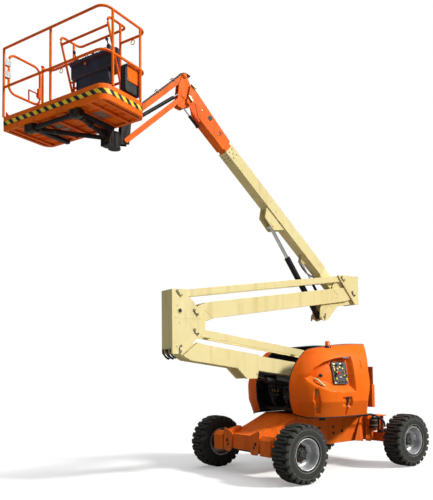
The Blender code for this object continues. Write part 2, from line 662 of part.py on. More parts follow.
def build_head_and_jib():
    # head bracket: two plates that carry both jib pins, joined by webs
    plate = [(-2.400, 5.930), (-2.452, 5.925), (-2.523, 5.752), (-2.552, 5.500), (-2.548, 5.413),
             (-2.458, 5.400), (-2.400, 5.440), (-2.325, 5.490), (-2.320, 5.560), (-2.300, 5.720)]
    parts = [prism([(-2.36, 5.50), (-2.33, 5.52), (-2.31, 5.70), (-2.34, 5.70)], -0.040, 0.040)]
    for _, sign in SIDES:
        parts.append(prism(plate, sign * 0.037, sign * 0.048))
        parts.append(cross_pin(JIB_ARM_PIN, sign * 0.040, sign * 0.058, 0.022))
        parts.append(cross_pin(JIB_LINK_PIN, sign * 0.040, sign * 0.0525, 0.020))
    node("head_bracket", "orange_paint", on_axis(HEAD_POINT), parts)
    half_depth = 0.040
    beam = [(-0.035, -0.02), (-0.035, 0.02), (-0.01, half_depth), (JIB_LENGTH, half_depth),
            (JIB_LENGTH + 0.04, 0.02), (JIB_LENGTH + 0.04, -0.02), (JIB_LENGTH, -half_depth),
            (-0.01, -half_depth)]
    lug = [(0.98, -0.035), (1.02, -0.10), (1.10, -0.10), (1.14, -0.035)]
    parts = [prism(arm_outline(JIB_ARM_PIN, JIB_TILT, beam), -0.032, 0.032)]
    for _, sign in SIDES:
        parts.append(prism(arm_outline(JIB_ARM_PIN, JIB_TILT, lug), sign * 0.0265, sign * 0.0315))
    node("jib_arm", "orange_paint", on_axis(JIB_ARM_PIN), parts)
    # the link is two flat bars, so that the arm and its cylinder pass between them
    link = [(-0.03, -0.02), (-0.03, 0.02), (0.0, 0.035), (JIB_LENGTH, 0.035), (JIB_LENGTH + 0.03, 0.02),
            (JIB_LENGTH + 0.03, -0.02), (JIB_LENGTH, -0.035), (0.0, -0.035)]
    for side, sign in SIDES:
        node(f"jib_link_{side}", "orange_paint", on_axis(JIB_LINK_PIN),
             [prism(arm_outline(JIB_LINK_PIN, JIB_TILT, link), sign * 0.053, sign * 0.066)])
    build_rotator()


def build_rotator():
    x1 = JIB_ARM_TIP[0]
    plate = [(x1 - 0.09, 5.09), (x1 + 0.04, 5.09), (x1 + 0.045, 5.02), (x1 + 0.01, 4.68),
             (x1 - 0.10, 4.66), (-3.44, 4.66), (-3.44, 4.82)]
    parts = [rod((ROTATOR_X, 0, 4.615), (ROTATOR_X, 0, 4.790), 0.075, 20),
             box(ROTATOR_X, -3.44, -0.045, 0.045, 4.66, 4.76)]
    for _, sign in SIDES:
        parts.append(prism(plate, sign * 0.037, sign * 0.048))
        parts.append(cross_pin(JIB_LINK_TIP, sign * 0.040, sign * 0.0525, 0.020))
    parts.append(box(-3.455, -3.430, -0.047, 0.047, 4.661, 4.79))
    node("rotator", "black_paint", on_axis(JIB_ARM_TIP), parts)


# Platform, in its own frame: a along the front, b towards the jib, z up from the floor
def platform_point(a, b, z):
    ox, oy, oz = PLATFORM_CORNER
    s, c = math.sin(PLATFORM_YAW), math.cos(PLATFORM_YAW)
    return Vector((ox + a * s + b * c, oy - a * c + b * s, oz + z))


def platform_box(a0, a1, b0, b1, z0, z1):
    corners = [platform_point(a, b, 0) for a, b in ((a0, b0), (a1, b0), (a1, b1), (a0, b1))]
    oz = PLATFORM_CORNER[2]
    return slab([(p.x, p.y) for p in corners], oz + z0, oz + z1)


def platform_tube(points, radius=RAIL_RADIUS, bend=0.0, closed=False):
    path = [platform_point(*p) for p in points]
    if bend:
        path = rounded_path(path, bend, 4, closed)
    return tube(path, radius, 8, closed)


def floor_outline(inset):
    """The floor's edge in plan: sharp beside the gate's hinges, rounded at the other three corners."""
    low, far_a, far_b = inset, PLATFORM_LENGTH - inset, PLATFORM_DEPTH - inset
    corners = [(low, low), (far_a, low), (far_a, far_b), (low, far_b)]
    path = rounded_path([(a, b, 0) for a, b in [*corners, corners[0]]], CORNER_RADIUS - inset)
    points = [platform_point(a, b, 0) for a, b, _ in path[:-1]]
    return [(p.x, p.y) for p in points]


def build_platform():
    pivot = (ROTATOR_X, 0, 4.70)
    length, depth = PLATFORM_LENGTH, PLATFORM_DEPTH
    oz = PLATFORM_CORNER[2]
    floor = slab(floor_outline(0.0), oz + TOE_BOARD[0], oz + TOE_BOARD[1])
    tray = slab(floor_outline(0.008), oz - 0.02, oz + 0.3)
    node("platform_floor", "orange_paint", pivot, [floor], [tray])
    build_rails(pivot, length, depth)
    build_gate(depth)
    node("control_console", "navy_plastic", pivot,
         [platform_box(0.56, 1.33, 0.62, 0.83, 0.76, 1.05),
          platform_box(0.64, 1.26, 0.67, 0.735, 0.32, 0.78)])
    node("side_box", "black_paint", pivot, [platform_box(1.70, 1.80, 0.41, 0.68, 0.20, 0.56)])
    build_support(pivot, depth)


def build_rails(pivot, length, depth):
    """Guard rails and posts, with the taller frame that stands round the console."""
    top = RAIL_HEIGHT - RAIL_RADIUS
    post_b = depth - CORNER_RADIUS + 0.01
    front = [(0.0, 0.0), (length, 0.0), (length, depth)]
    gate_corner = [(0.0, depth), (0.0, post_b)]
    runs = [(top, [*front, (HOOP_A[1], depth)]), (top, [(HOOP_A[0], depth), *gate_corner]),
            (MIDDLE_RAIL, [*front, *gate_corner])]
    parts = [platform_tube([(a, b, z) for a, b in run], bend=RAIL_BEND) for z, run in runs]
    foot = TOE_BOARD[1] + 0.0005
    posts = [(0.0, 0.0, top), (length / 2, 0.0, top), (length, 0.15, top), (length, post_b, top),
             (0.0, post_b, top), (HOOP_A[0], depth, HOOP_HEIGHT), (HOOP_A[1], depth, HOOP_HEIGHT)]
    for a, b, head in posts:
        parts.append(platform_tube([(a, b, foot), (a, b, head)]))
    # the frame: a leaning leg at each end, level arms over the posts and a bar along the back
    inner, outer = 0.503, 0.875
    near_a, far_a = HOOP_A
    frame = [(near_a, depth, MIDDLE_RAIL), (near_a, inner, HOOP_HEIGHT), (near_a, outer, HOOP_HEIGHT),
             (far_a, outer, HOOP_HEIGHT), (far_a, inner, HOOP_HEIGHT), (far_a, depth, MIDDLE_RAIL)]
    parts.append(platform_tube(frame, bend=0.06))
    for b, z in ((0.541, 1.235), (depth, 0.70)):
        parts.append(platform_tube([(near_a, b, z), (far_a, b, z)]))
    node("platform_rails", "orange_paint", pivot, parts)


def build_gate(depth):
    low, high = 0.515, 1.055
    edge = depth - 0.165
    frame = [(-0.002, 0.078, low), (-0.002, edge, low), (-0.002, edge, high), (-0.002, 0.078, high)]
    hinge = platform_point(0.0, 0.03, 0.6)
    parts = [platform_tube(frame, bend=0.10, closed=True),
             platform_box(-0.020, 0.018, edge - 0.035, edge - 0.001, 0.62, 0.76)]
    for z0, z1 in ((0.69, 0.80), (0.87, 0.95)):
        parts.append(platform_box(-0.010, -0.004, 0.026, 0.10, z0, z1))
    node("gate", "orange_paint", hinge, parts)


def build_support(pivot, depth):
    low = TOE_BOARD[0] - 0.0005
    near_a, far_a = 0.47, 1.30
    hub_a, hub_b = 1.172, 0.80
    tube_b, tube_z = 0.075, -0.095
    parts = [rod((ROTATOR_X, 0, 4.796), (ROTATOR_X, 0, 4.8044), 0.085, 20),
             rod((ROTATOR_X, 0, 4.585), (ROTATOR_X, 0, 4.609), 0.085, 20)]
    parts.append(platform_box(hub_a - 0.07, hub_a + 0.07, 0.68, 0.78, -0.27, low))
    parts.append(platform_box(hub_a - 0.06, hub_a + 0.06, 0.74, 0.86, -0.059, low - 0.0001))
    parts.append(platform_box(hub_a - 0.06, hub_a + 0.06, 0.74, 0.86, -0.268, -0.248))
    for a in (near_a, far_a):
        parts.append(platform_tube([(hub_a, 0.73, -0.16), (a, tube_b, tube_z)], 0.03))
        parts.append(platform_box(a - 0.03, a + 0.03, 0.04, depth - 0.06, -0.10, low))
        parts.append(platform_box(a - 0.075, a + 0.075, 0.02, 0.13, -0.135, low + 0.0001))
    parts.append(platform_tube([(near_a, tube_b, tube_z), (far_a, tube_b, tube_z)], 0.03))
    node("platform_support", "black_paint", pivot, parts)


# Cylinders: barrel on its base pin, rod up to the eye
def cylinder(name, base, eye, barrel, foot, radius, rod_radius, boss, boss_half):
    """Barrel and rod, where foot is how far from the base pin the rod's inner end lies."""
    b = Vector((base[0], 0, base[1]))
    e = Vector((eye[0], 0, eye[1]))
    way = (e - b).normalized()
    mouth = b + way * barrel
    bore_end = b + way * (boss + BORE_FLOOR)
    eye_radius = boss * 0.9
    node(f"{name}_barrel", "black_paint", b,
         [rod(b + way * boss * 0.5, mouth, radius, 18), cross_pin(base, -boss_half, boss_half, boss)],
         [rod(bore_end, mouth + way * 0.1, rod_radius + ROD_CLEARANCE, 16)])
    node(f"{name}_rod", "chrome", e,
         [rod(b + way * foot, e, rod_radius, 16), cross_pin(eye, -boss_half, boss_half, eye_radius)])


def build_cylinders():
    # name, base, eye, barrel length, rod's foot, barrel radius, rod radius, boss radius, boss half length
    table = [
        ("tower_cylinder", TOWER_CYLINDER_BASE, TOWER_CYLINDER_EYE, 1.40, 0.16, 0.050, 0.028, 0.050, 0.04),
        ("lift_cylinder", LIFT_BASE, LIFT_EYE_POINT, 1.174, 0.455, 0.048, 0.028, 0.040, 0.04),
        ("level_master", LEVEL_MASTER_BASE, LEVEL_MASTER_EYE, 0.52, 0.285, 0.022, 0.010, 0.022, 0.02),
        ("level_slave", LEVEL_SLAVE_BASE, LEVEL_SLAVE_EYE, 0.19, 0.120, 0.022, 0.010, 0.022, 0.02),
        ("jib_cylinder", JIB_CYLINDER_BASE, JIB_CYLINDER_EYE, 0.70, 0.155, 0.026, 0.015, 0.022, 0.026)]
    for row in table:
        cylinder(*row)


clear_scene()
MATERIALS = make_materials()
MACHINE = bpy.data.objects.new("machine", None)
MACHINE.location = (WHEELBASE_CENTRE_X, 0, 0)
bpy.context.collection.objects.link(MACHINE)
build_wheels()
build_axles()
build_chassis()
build_turntable()
build_tower()
build_boom()
build_head_and_jib()
build_platform()
build_cylinders()
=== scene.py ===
# %% [markdown]
# # Dressing an articulating boom lift
# The machine is a steel chassis on four cleated tyres, a turntable under two moulded hoods, a folding
# tower of cream box tubes, an orange telescoping boom and jib, and a guarded platform. The rigid frame
# is loaded as it was engineered. This lesson gives it the surfaces, fasteners, hoses and controls that
# the eye expects. Most lengths here are in the machine's own frame, whose X = 0 lies midway between the
# axles, and one constant moves a finished piece into the shared frame.

# %% Load the frame
import json
import math

import bmesh
import bpy
from mathutils import Matrix, Vector

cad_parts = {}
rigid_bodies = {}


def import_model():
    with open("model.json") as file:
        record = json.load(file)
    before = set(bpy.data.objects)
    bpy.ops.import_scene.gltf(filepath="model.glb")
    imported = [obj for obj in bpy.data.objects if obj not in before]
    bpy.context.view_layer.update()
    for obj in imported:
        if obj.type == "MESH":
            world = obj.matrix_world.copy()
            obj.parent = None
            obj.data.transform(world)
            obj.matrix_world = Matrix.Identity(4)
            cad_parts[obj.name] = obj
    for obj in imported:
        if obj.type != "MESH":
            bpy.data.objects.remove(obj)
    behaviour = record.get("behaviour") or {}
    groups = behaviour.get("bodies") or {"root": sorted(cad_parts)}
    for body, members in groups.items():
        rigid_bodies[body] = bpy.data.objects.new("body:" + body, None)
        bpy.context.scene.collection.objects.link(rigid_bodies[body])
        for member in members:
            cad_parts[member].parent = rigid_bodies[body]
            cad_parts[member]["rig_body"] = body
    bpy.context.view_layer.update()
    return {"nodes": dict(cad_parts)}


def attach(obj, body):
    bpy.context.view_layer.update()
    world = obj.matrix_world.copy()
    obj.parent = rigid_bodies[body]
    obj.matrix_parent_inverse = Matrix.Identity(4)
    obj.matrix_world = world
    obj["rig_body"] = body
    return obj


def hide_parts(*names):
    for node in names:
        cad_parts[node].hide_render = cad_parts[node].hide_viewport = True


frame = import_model()
AXLE_MIDDLE = 1.581
UPWARD = Vector((0, 0, 1))


def new_object(name, data):
    made = bpy.data.objects.new(name, data)
    bpy.context.scene.collection.objects.link(made)
    return made


# %% [markdown]
# ## Where the picture was taken from
# A long lens from low down and well to the front left. The picture is a crop of a larger frame, so the
# lens is shifted. The angles are those of a camera fitted to the wheels, arms and rails.

# %% Camera
VIEW_YAW, VIEW_PITCH, VIEW_ROLL = 0.642, 0.057, -0.013
FOCAL_PIXELS, PICTURE = 596.01, (433, 500)
PRINCIPAL_POINT = (234.55, 333.07)

ahead = Vector((math.sin(VIEW_YAW) * math.cos(VIEW_PITCH), math.cos(VIEW_YAW) * math.cos(VIEW_PITCH),
                math.sin(VIEW_PITCH)))
level_right = Vector((math.cos(VIEW_YAW), -math.sin(VIEW_YAW), 0))
level_up = level_right.cross(ahead)
lean, rise = math.cos(VIEW_ROLL), math.sin(VIEW_ROLL)
right, up = level_right * lean + level_up * rise, level_up * lean - level_right * rise

viewpoint = new_object("viewpoint", bpy.data.cameras.new("viewpoint"))
viewpoint.data.sensor_width = 36
viewpoint.data.lens = 36 * FOCAL_PIXELS / PICTURE[1]
viewpoint.data.shift_x = (PICTURE[0] / 2 - PRINCIPAL_POINT[0]) / PICTURE[1]
viewpoint.data.shift_y = (PRINCIPAL_POINT[1] - PICTURE[1] / 2) / PICTURE[1]
turn = Matrix((right, up, -ahead)).transposed().to_4x4()
viewpoint.matrix_world = Matrix.Translation((AXLE_MIDDLE - 6.955, -7.239, 1.643)) @ turn
bpy.context.scene.camera = viewpoint
print("lens:", round(viewpoint.data.lens, 1), "mm")

# %% [markdown]
# ## A helper for colours and one for shader nodes
# Paint charts and pictures give colours as sRGB hex values, and shaders work with linear light.

# %% Colour and node helpers
def hex_colour(code):
    """An sRGB hex value such as #F0641A, as linear red, green, blue and alpha."""
    channels = [int(code[i:i + 2], 16) / 255 for i in (1, 3, 5)]
    return [c / 12.92 if c <= 0.04045 else ((c + 0.055) / 1.055) ** 2.4 for c in channels] + [1.0]


def add(tree, kind, inputs=(), **settings):
    """Adds one node. An input is a value, or another node's output socket to link from."""
    made = tree.nodes.new(kind)
    for name, value in settings.items():
        setattr(made, name, value)
    for key, value in dict(inputs).items():
        if isinstance(value, bpy.types.NodeSocket):
            tree.links.new(value, made.inputs[key])
        else:
            made.inputs[key].default_value = value
    return made


def new_finish(name):
    """An empty material with its output, a Principled shader and the object's own coordinates."""
    finish = bpy.data.materials.new(name)
    finish.use_nodes = True
    tree = finish.node_tree
    tree.nodes.clear()
    shader = add(tree, "ShaderNodeBsdfPrincipled")
    add(tree, "ShaderNodeOutputMaterial", {"Surface": shader.outputs[0]})
    place = add(tree, "ShaderNodeTexCoord").outputs["Object"]
    return finish, tree, shader, place


MIX_COLOURS = {"data_type": "RGBA"}
FACTOR, COLOUR_A, COLOUR_B, COLOUR_OUT = 0, 6, 7, 2


def noise(tree, place, scale, detail, roughness=0.5):
    return add(tree, "ShaderNodeTexNoise", {"Vector": place, "Scale": scale, "Detail": detail,
                                            "Roughness": roughness}).outputs[0]


def ramp(tree, value, low, high, at_low, at_high):
    """Maps a value between low and high to one between at_low and at_high, and holds it beyond them."""
    return add(tree, "ShaderNodeMapRange", {0: value, 1: low, 2: high, 3: at_low, 4: at_high}).outputs[0]


def product(tree, first, second):
    return add(tree, "ShaderNodeMath", {0: first, 1: second}, operation="MULTIPLY").outputs[0]


def mixed(tree, factor, first, second):
    """A second colour laid over a first one by a factor. Each is a hex value or a node's output."""
    first, second = (hex_colour(colour) if isinstance(colour, str) else colour
                     for colour in (first, second))
    return add(tree, "ShaderNodeMix", {FACTOR: factor, COLOUR_A: first, COLOUR_B: second},
               **MIX_COLOURS).outputs[COLOUR_OUT]


def bumped(tree, shader, height, strength):
    bump = add(tree, "ShaderNodeBump", {"Strength": strength, "Distance": 0.002, "Height": height})
    tree.links.new(bump.outputs[0], shader.inputs["Normal"])


print("mid grey in linear light:", round(hex_colour("#808080")[0], 3))

# %% [markdown]
# ## Sprayed enamel on steel
# Two-pack enamel goes on wet and levels into a glossy skin with a faint orange peel of a few
# millimetres. A working machine then fades in broad patches, gathers pale dust low down, weeps a little
# rust below its joints and loses flecks of paint. Each of those is one noise at its own real size.

# %% Enamel
def sprayed_enamel(name, fresh, faded, gloss, dust_top=1.1, dust_depth=0.5, runs=0.5, grime="#4A3420"):
    """Enamel that has faded in patches, with dust low down, runs of grime and chipped flecks."""
    finish, tree, shader, place = new_finish(name)
    paint = mixed(tree, ramp(tree, noise(tree, place, 1.6, 4.0, 0.6), 0.35, 0.7, 0.0, 0.85), fresh, faded)
    # dust lies in drifts about 10 cm wide and thins out with height
    height = add(tree, "ShaderNodeSeparateXYZ", {0: place}).outputs[2]
    low = ramp(tree, height, 0.1, dust_top, dust_depth, 0.04)
    drifts = noise(tree, place, 9.0, 6.0, 0.7)
    dusted = mixed(tree, product(tree, low, drifts), paint, "#96643A")
    # rain draws grime into upright runs, a few centimetres wide and a hand long
    stretched = add(tree, "ShaderNodeMapping", {0: place, 3: (9.0, 9.0, 1.3)}).outputs[0]
    run = ramp(tree, noise(tree, stretched, 1.0, 3.0), 0.52, 0.85, 0.0, runs)
    weathered = mixed(tree, run, dusted, grime)
    # flecks where the paint has gone: about 8 mm across, drawn a little coarse to show
    flecks = add(tree, "ShaderNodeTexVoronoi", {"Vector": place, "Scale": 16.0,
                                                "Randomness": 1.0}).outputs[0]
    chip = product(tree, ramp(tree, flecks, 0.075, 0.10, 0.75, 0.0),
                   ramp(tree, drifts, 0.56, 0.62, 0.0, 1.0))
    tree.links.new(mixed(tree, chip, weathered, "#5B3A22"), shader.inputs["Base Color"])
    tree.links.new(ramp(tree, drifts, 0.3, 0.7, gloss, gloss + 0.22), shader.inputs["Roughness"])
    bumped(tree, shader, noise(tree, place, 140.0, 2.0), 0.05)
    # the coat is thin and the light comes from everywhere, so little white is reflected over the colour
    shader.inputs["Specular IOR Level"].default_value = 0.10
    shader.inputs["Coat Weight"].default_value = 0.03
    shader.inputs["Coat Roughness"].default_value = 0.12
    return finish


orange_enamel = sprayed_enamel("sprayed_orange_enamel", "#E6600A", "#EC6E12", 0.40)
orange_gelcoat = sprayed_enamel("orange_gelcoat_hood", "#E8620A", "#EE7012", 0.34, dust_top=1.4,
                                dust_depth=0.22, runs=0.12)
cream_enamel = sprayed_enamel("sprayed_cream_enamel", "#D9CC93", "#E0D5A3", 0.42, dust_top=2.2,
                              dust_depth=0.16, runs=0.28, grime="#8A6A34")
black_enamel = sprayed_enamel("black_chassis_enamel", "#1B1D22", "#2A2C31", 0.38, dust_depth=0.35,
                              runs=0.15)
print("enamels:", len(bpy.data.materials))

# %% [markdown]
# ## Rubber, plastic, chrome and zinc
# Each starts from what it is made of: vulcanised rubber is nearly black but always dusty, chrome plate is
# a hard mirror, galvanised and zinc plated steel keep a soft sparkle, and moulded plastic has a fine
# spark-eroded grain.

# %% Other finishes
def mottled(name, first, second, size, low_gloss, high_gloss, metal=0.0, grain=0.0, grain_size=0.002):
    """A finish whose colour and roughness drift between two values over the given size in metres."""
    finish, tree, shader, place = new_finish(name)
    spread = ramp(tree, noise(tree, place, 1 / size, 5.0, 0.65), 0.34, 0.66, 0.0, 1.0)
    tree.links.new(mixed(tree, spread, first, second), shader.inputs["Base Color"])
    tree.links.new(ramp(tree, spread, 0.0, 1.0, low_gloss, high_gloss), shader.inputs["Roughness"])
    shader.inputs["Metallic"].default_value = metal
    if grain:
        bumped(tree, shader, noise(tree, place, 1 / grain_size, 3.0), grain)
    return finish


tyre_rubber = mottled("vulcanised_tyre_rubber", "#1D1E1C", "#2B2C29", 0.06, 0.62, 0.85, grain=0.5,
                      grain_size=0.004)
hose_rubber = mottled("braided_hose_rubber", "#121316", "#1E2024", 0.05, 0.45, 0.6, grain=0.2)
navy_plastic = mottled("moulded_navy_abs", "#1A2334", "#26314A", 0.20, 0.38, 0.50, grain=0.15,
                       grain_size=0.0015)
black_plastic = mottled("moulded_black_nylon", "#15161A", "#202227", 0.08, 0.40, 0.55, grain=0.15)
seal_rubber = mottled("extruded_seal_rubber", "#101114", "#191A1D", 0.05, 0.6, 0.75)
chrome_plate = mottled("hard_chrome_plate", "#C9CDD2", "#DADDE0", 0.10, 0.08, 0.16, metal=1.0)
wheel_silver = mottled("silver_wheel_lacquer", "#A9ABAE", "#C9CBCD", 0.08, 0.30, 0.45, metal=0.55)
hub_iron = mottled("dusty_hub_iron", "#232425", "#3A3B3B", 0.05, 0.55, 0.75, metal=0.1, grain=0.3)
galvanised = mottled("galvanised_steel", "#8D9396", "#A9AEB0", 0.02, 0.40, 0.55, metal=0.8)
zinc_bolts = mottled("zinc_plated_bolts", "#8F8A78", "#B1AA92", 0.02, 0.35, 0.5, metal=0.85)
brass_fittings = mottled("brass_hose_fittings", "#A98A4A", "#C6A765", 0.02, 0.3, 0.45, metal=0.9)
yellow_vinyl = mottled("yellow_label_vinyl", "#E9C21B", "#F2D23A", 0.05, 0.35, 0.45)
white_vinyl = mottled("white_label_vinyl", "#E4E4DF", "#F0F0EC", 0.05, 0.35, 0.45)
red_plastic = mottled("moulded_red_button", "#C41E14", "#D4301F", 0.02, 0.25, 0.35)
amber_plastic = mottled("amber_beacon_polycarbonate", "#F2600E", "#F67C22", 0.03, 0.12, 0.2)
dark_iron = mottled("dark_machinery_iron", "#1E1F21", "#2E2E2E", 0.1, 0.5, 0.7, metal=0.3, grain=0.2)
olive_strip = mottled("faded_olive_sight_strip", "#7A6A22", "#8E7C2E", 0.05, 0.35, 0.45)
# the tyres' two thin sidewall lines, coloured pale
pale_line_rubber = mottled("pale_sidewall_line_rubber", "#5E605A", "#7C7E77", 0.04, 0.6, 0.8)
olive_zinc = mottled("passivated_olive_zinc", "#3F3B20", "#5C5630", 0.02, 0.35, 0.5, metal=0.6)
lever_beige = mottled("worn_beige_lever_lacquer", "#C9BA86", "#DCD0A2", 0.03, 0.45, 0.6)
black_vinyl = mottled("black_label_vinyl", "#15161A", "#24262B", 0.05, 0.35, 0.5)
greased_iron = mottled("greased_dark_iron", "#17150F", "#4A4128", 0.05, 0.22, 0.5, metal=0.6, grain=0.4,
                       grain_size=0.01)
print("finishes:", len(bpy.data.materials))

# %% [markdown]
# ## Shapes by skinning rings
# Nearly everything on such a machine is a plate cut to an outline, a turned part or a bent tube. All of
# them are one operation: a skin stretched from ring to ring of points.

# %% Shape helpers
def skin(shape, rings, looped=False):
    """Skins each ring of points to the next. Open ends are capped, and a looped skin closes on itself."""
    rows = [[shape.verts.new(point) for point in ring] for ring in rings]
    steps = list(zip(rows, rows[1:]))
    if looped:
        steps.append((rows[-1], rows[0]))
    for low, high in steps:
        for k in range(len(low)):
            following = (k + 1) % len(low)
            shape.faces.new((low[k], low[following], high[following], high[k]))
    if not looped:
        shape.faces.new(rows[0])
        shape.faces.new(rows[-1])


def plate(shape, outline, near_y, far_y):
    """A plate cut to an outline of (x, z) points, between two values of Y."""
    skin(shape, [[(x, y, z) for x, z in outline] for y in (near_y, far_y)])


def deck(shape, outline, low_z, high_z):
    """A plate cut to an outline of (x, y) points, between two heights."""
    skin(shape, [[(x, y, z) for x, y in outline] for z in (low_z, high_z)])


def block(shape, x0, x1, y0, y1, z0, z1):
    """A plain six-sided block, for pieces whose edges are rounded later."""
    plate(shape, [(x0, z0), (x1, z0), (x1, z1), (x0, z1)], y0, y1)


def square_to(direction):
    """Two unit directions at right angles to a direction and to each other."""
    direction = Vector(direction).normalized()
    helper = UPWARD if abs(direction.z) < 0.9 else Vector((1, 0, 0))
    side = direction.cross(helper).normalized()
    return side, side.cross(direction).normalized()


def spun(shape, profile, centre, direction, sides=32, looped=False):
    """A turned part: the profile is a list of (distance along the axis, radius)."""
    direction = Vector(direction).normalized()
    side, over = square_to(direction)
    rings = []
    for distance, radius in profile:
        middle = Vector(centre) + direction * distance
        rings.append([middle + (side * math.cos(a) + over * math.sin(a)) * radius
                      for a in (2 * math.pi * k / sides for k in range(sides))])
    skin(shape, rings, looped)


def smooth_route(points, steps=6):
    """A Catmull-Rom curve through the points, as hose and bent bar lie."""
    points = [Vector(p) for p in points]
    ends = [points[0] * 2 - points[1]] + points + [points[-1] * 2 - points[-2]]
    route = []
    for a, b, c, d in zip(ends, ends[1:], ends[2:], ends[3:]):
        for k in range(steps):
            t = k / steps
            route.append(0.5 * ((2 * b) + (c - a) * t + (2 * a - 5 * b + 4 * c - d) * t * t
                                + (3 * b - a - 3 * c + d) * t ** 3))
    return route + [points[-1]]


def rounded_route(points, radius, steps=5, closed=False):
    """Straight runs with their corners rounded, as tube is bent on a die."""
    points = [Vector(p) for p in points]
    route = [] if closed else [points[0]]
    count = len(points)
    for k in (range(count) if closed else range(1, count - 1)):
        before, corner, after = points[k - 1], points[k], points[(k + 1) % count]
        inward, outward = (before - corner), (after - corner)
        reach = min(radius, inward.length * 0.48, outward.length * 0.48)
        first, last = corner + inward.normalized() * reach, corner + outward.normalized() * reach
        for s in range(steps + 1):
            t = s / steps
            route.append(first * (1 - t) ** 2 + corner * 2 * t * (1 - t) + last * t * t)
    return route if closed else route + [points[-1]]


def tube(shape, route, radius, sides=12, closed=False):
    """A round tube along a route, its rings carried along without twist."""
    route = [Vector(p) for p in route]
    count = len(route)
    rings, side = [], None
    for k in range(count):
        if closed:
            heading = (route[(k + 1) % count] - route[k - 1]).normalized()
        else:
            heading = (route[min(k + 1, count - 1)] - route[max(k - 1, 0)]).normalized()
        side = square_to(heading)[0] if side is None else (side - heading * side.dot(heading)).normalized()
        over = heading.cross(side)
        rings.append([route[k] + (side * math.cos(a) + over * math.sin(a)) * radius
                      for a in (2 * math.pi * s / sides for s in range(sides))])
    skin(shape, rings, looped=closed)


bend = rounded_route([(0, 0, 0), (1, 0, 0), (1, 1, 0)], 0.1)
print("points in a bend of a tube:", len(bend))

# %% [markdown]
# ## From a shape to a finished piece
# Each piece gets its finish, its shading, a small bevel where it has cut edges, and the body that it rides
# on. One function does all of it, so that no piece is left behind when the machine moves.

# %% Turning a shape into a finished piece
OWNER = {name: item["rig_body"] for name, item in frame["nodes"].items()}
made_pieces = []


def shaded_piece(name, mesh, body, soft_angle, stands_for):
    """A mesh as an object that rides on a body, smooth but for its real edges."""
    mesh.shade_smooth()
    mesh.set_sharp_from_angle(angle=math.radians(soft_angle))
    piece = new_object(name, mesh)
    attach(piece, body)
    if stands_for:
        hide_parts(*stands_for)
    made_pieces.append(piece)
    return piece


def mesh_of(shape, name):
    """The shape as a mesh whose faces all look outwards."""
    bmesh.ops.recalc_face_normals(shape, faces=shape.faces)
    mesh = bpy.data.meshes.new(name)
    shape.to_mesh(mesh)
    shape.free()
    return mesh


def finished(name, shape, finish, body, round_edges=0.0, soft_angle=35.0, stands_for=(),
             shared_frame=False):
    """Makes the shape an object in the shared frame that rides on a body, with rounded edges and shading."""
    mesh = mesh_of(shape, name)
    if not shared_frame:
        mesh.transform(Matrix.Translation((AXLE_MIDDLE, 0, 0)))
    mesh.materials.append(finish)
    piece = shaded_piece(name, mesh, body, soft_angle, stands_for)
    if round_edges:
        edges = piece.modifiers.new("rounded_edges", "BEVEL")
        edges.width, edges.segments = round_edges, 2
        edges.limit_method, edges.angle_limit = "ANGLE", math.radians(32)
        edges.harden_normals = True
    return piece


print("nodes with an owner:", len(OWNER))

# %% [markdown]
# ## Rounded edges on the engineered plates
# Cut and folded steel never has a razor edge: the shear, the grinder and the paint leave a radius of 2 to
# 5 mm that catches the light. The engineered nodes are sharp, so each keeps its shape in a copy whose
# flat facets are merged and whose edges get a small bevel.

# %% Round the edges of the engineered nodes
def eased(node_name, finish, width):
    """A copy of a node with merged facets and rounded edges, standing for the node."""
    shape = bmesh.new()
    shape.from_mesh(frame["nodes"][node_name].data)
    bmesh.ops.remove_doubles(shape, verts=shape.verts, dist=0.00002)
    bmesh.ops.dissolve_limit(shape, angle_limit=math.radians(0.4), verts=shape.verts, edges=shape.edges)
    return finished(node_name + "_eased", shape, finish, OWNER[node_name], width,
                    stands_for=[node_name], shared_frame=True)


EASED_NODES = {
    orange_enamel: {"chassis_frame": 0.004, "steer_axle": 0.004, "counterweight": 0.012, "fly_boom": 0.006,
                    "head_bracket": 0.003, "jib_arm": 0.006, "jib_link_near": 0.003, "jib_link_far": 0.003,
                    "platform_rails": 0, "gate": 0},
    cream_enamel: {"lower_arm": 0.004, "lower_link": 0.004, "tower_upright": 0.003, "upper_arm": 0.005,
                   "upper_link": 0.004, "boom_upright": 0.003, "boom_base": 0.008, "track_carrier": 0.003},
    black_enamel: {"drive_axle": 0.004, "knuckle_near": 0.003, "knuckle_far": 0.003,
                   "turntable_frame": 0.003,
                   "slew_ring": 0.003, "lockout_cylinder_near": 0.002, "lockout_cylinder_far": 0.002,
                   "rotator": 0.003, "platform_support": 0.002,
                   "tower_cylinder_barrel": 0.002, "lift_cylinder_barrel": 0.002,
                   "level_master_barrel": 0.001,
                   "level_slave_barrel": 0.001, "jib_cylinder_barrel": 0.002},
    dark_iron: {"engine_block": 0.015, "battery_tank_block": 0.015},
    chrome_plate: {"tower_cylinder_rod": 0.001, "lift_cylinder_rod": 0.001, "level_master_rod": 0.0005,
                   "level_slave_rod": 0.0005, "jib_cylinder_rod": 0.0005},
    galvanised: {"tie_rod": 0.001},
}
for finish, widths in EASED_NODES.items():
    for node_name, width in widths.items():
        eased(node_name, finish, width)
print("eased nodes:", sum(len(widths) for widths in EASED_NODES.values()))

# %% [markdown]
# ## Fasteners by the dozen
# A bolted machine repeats one shape hundreds of times, which is what Geometry Nodes are for. A cloud of
# points holds where each bolt sits and which way it faces, and one tree puts a washer and a six-sided
# head on every point.

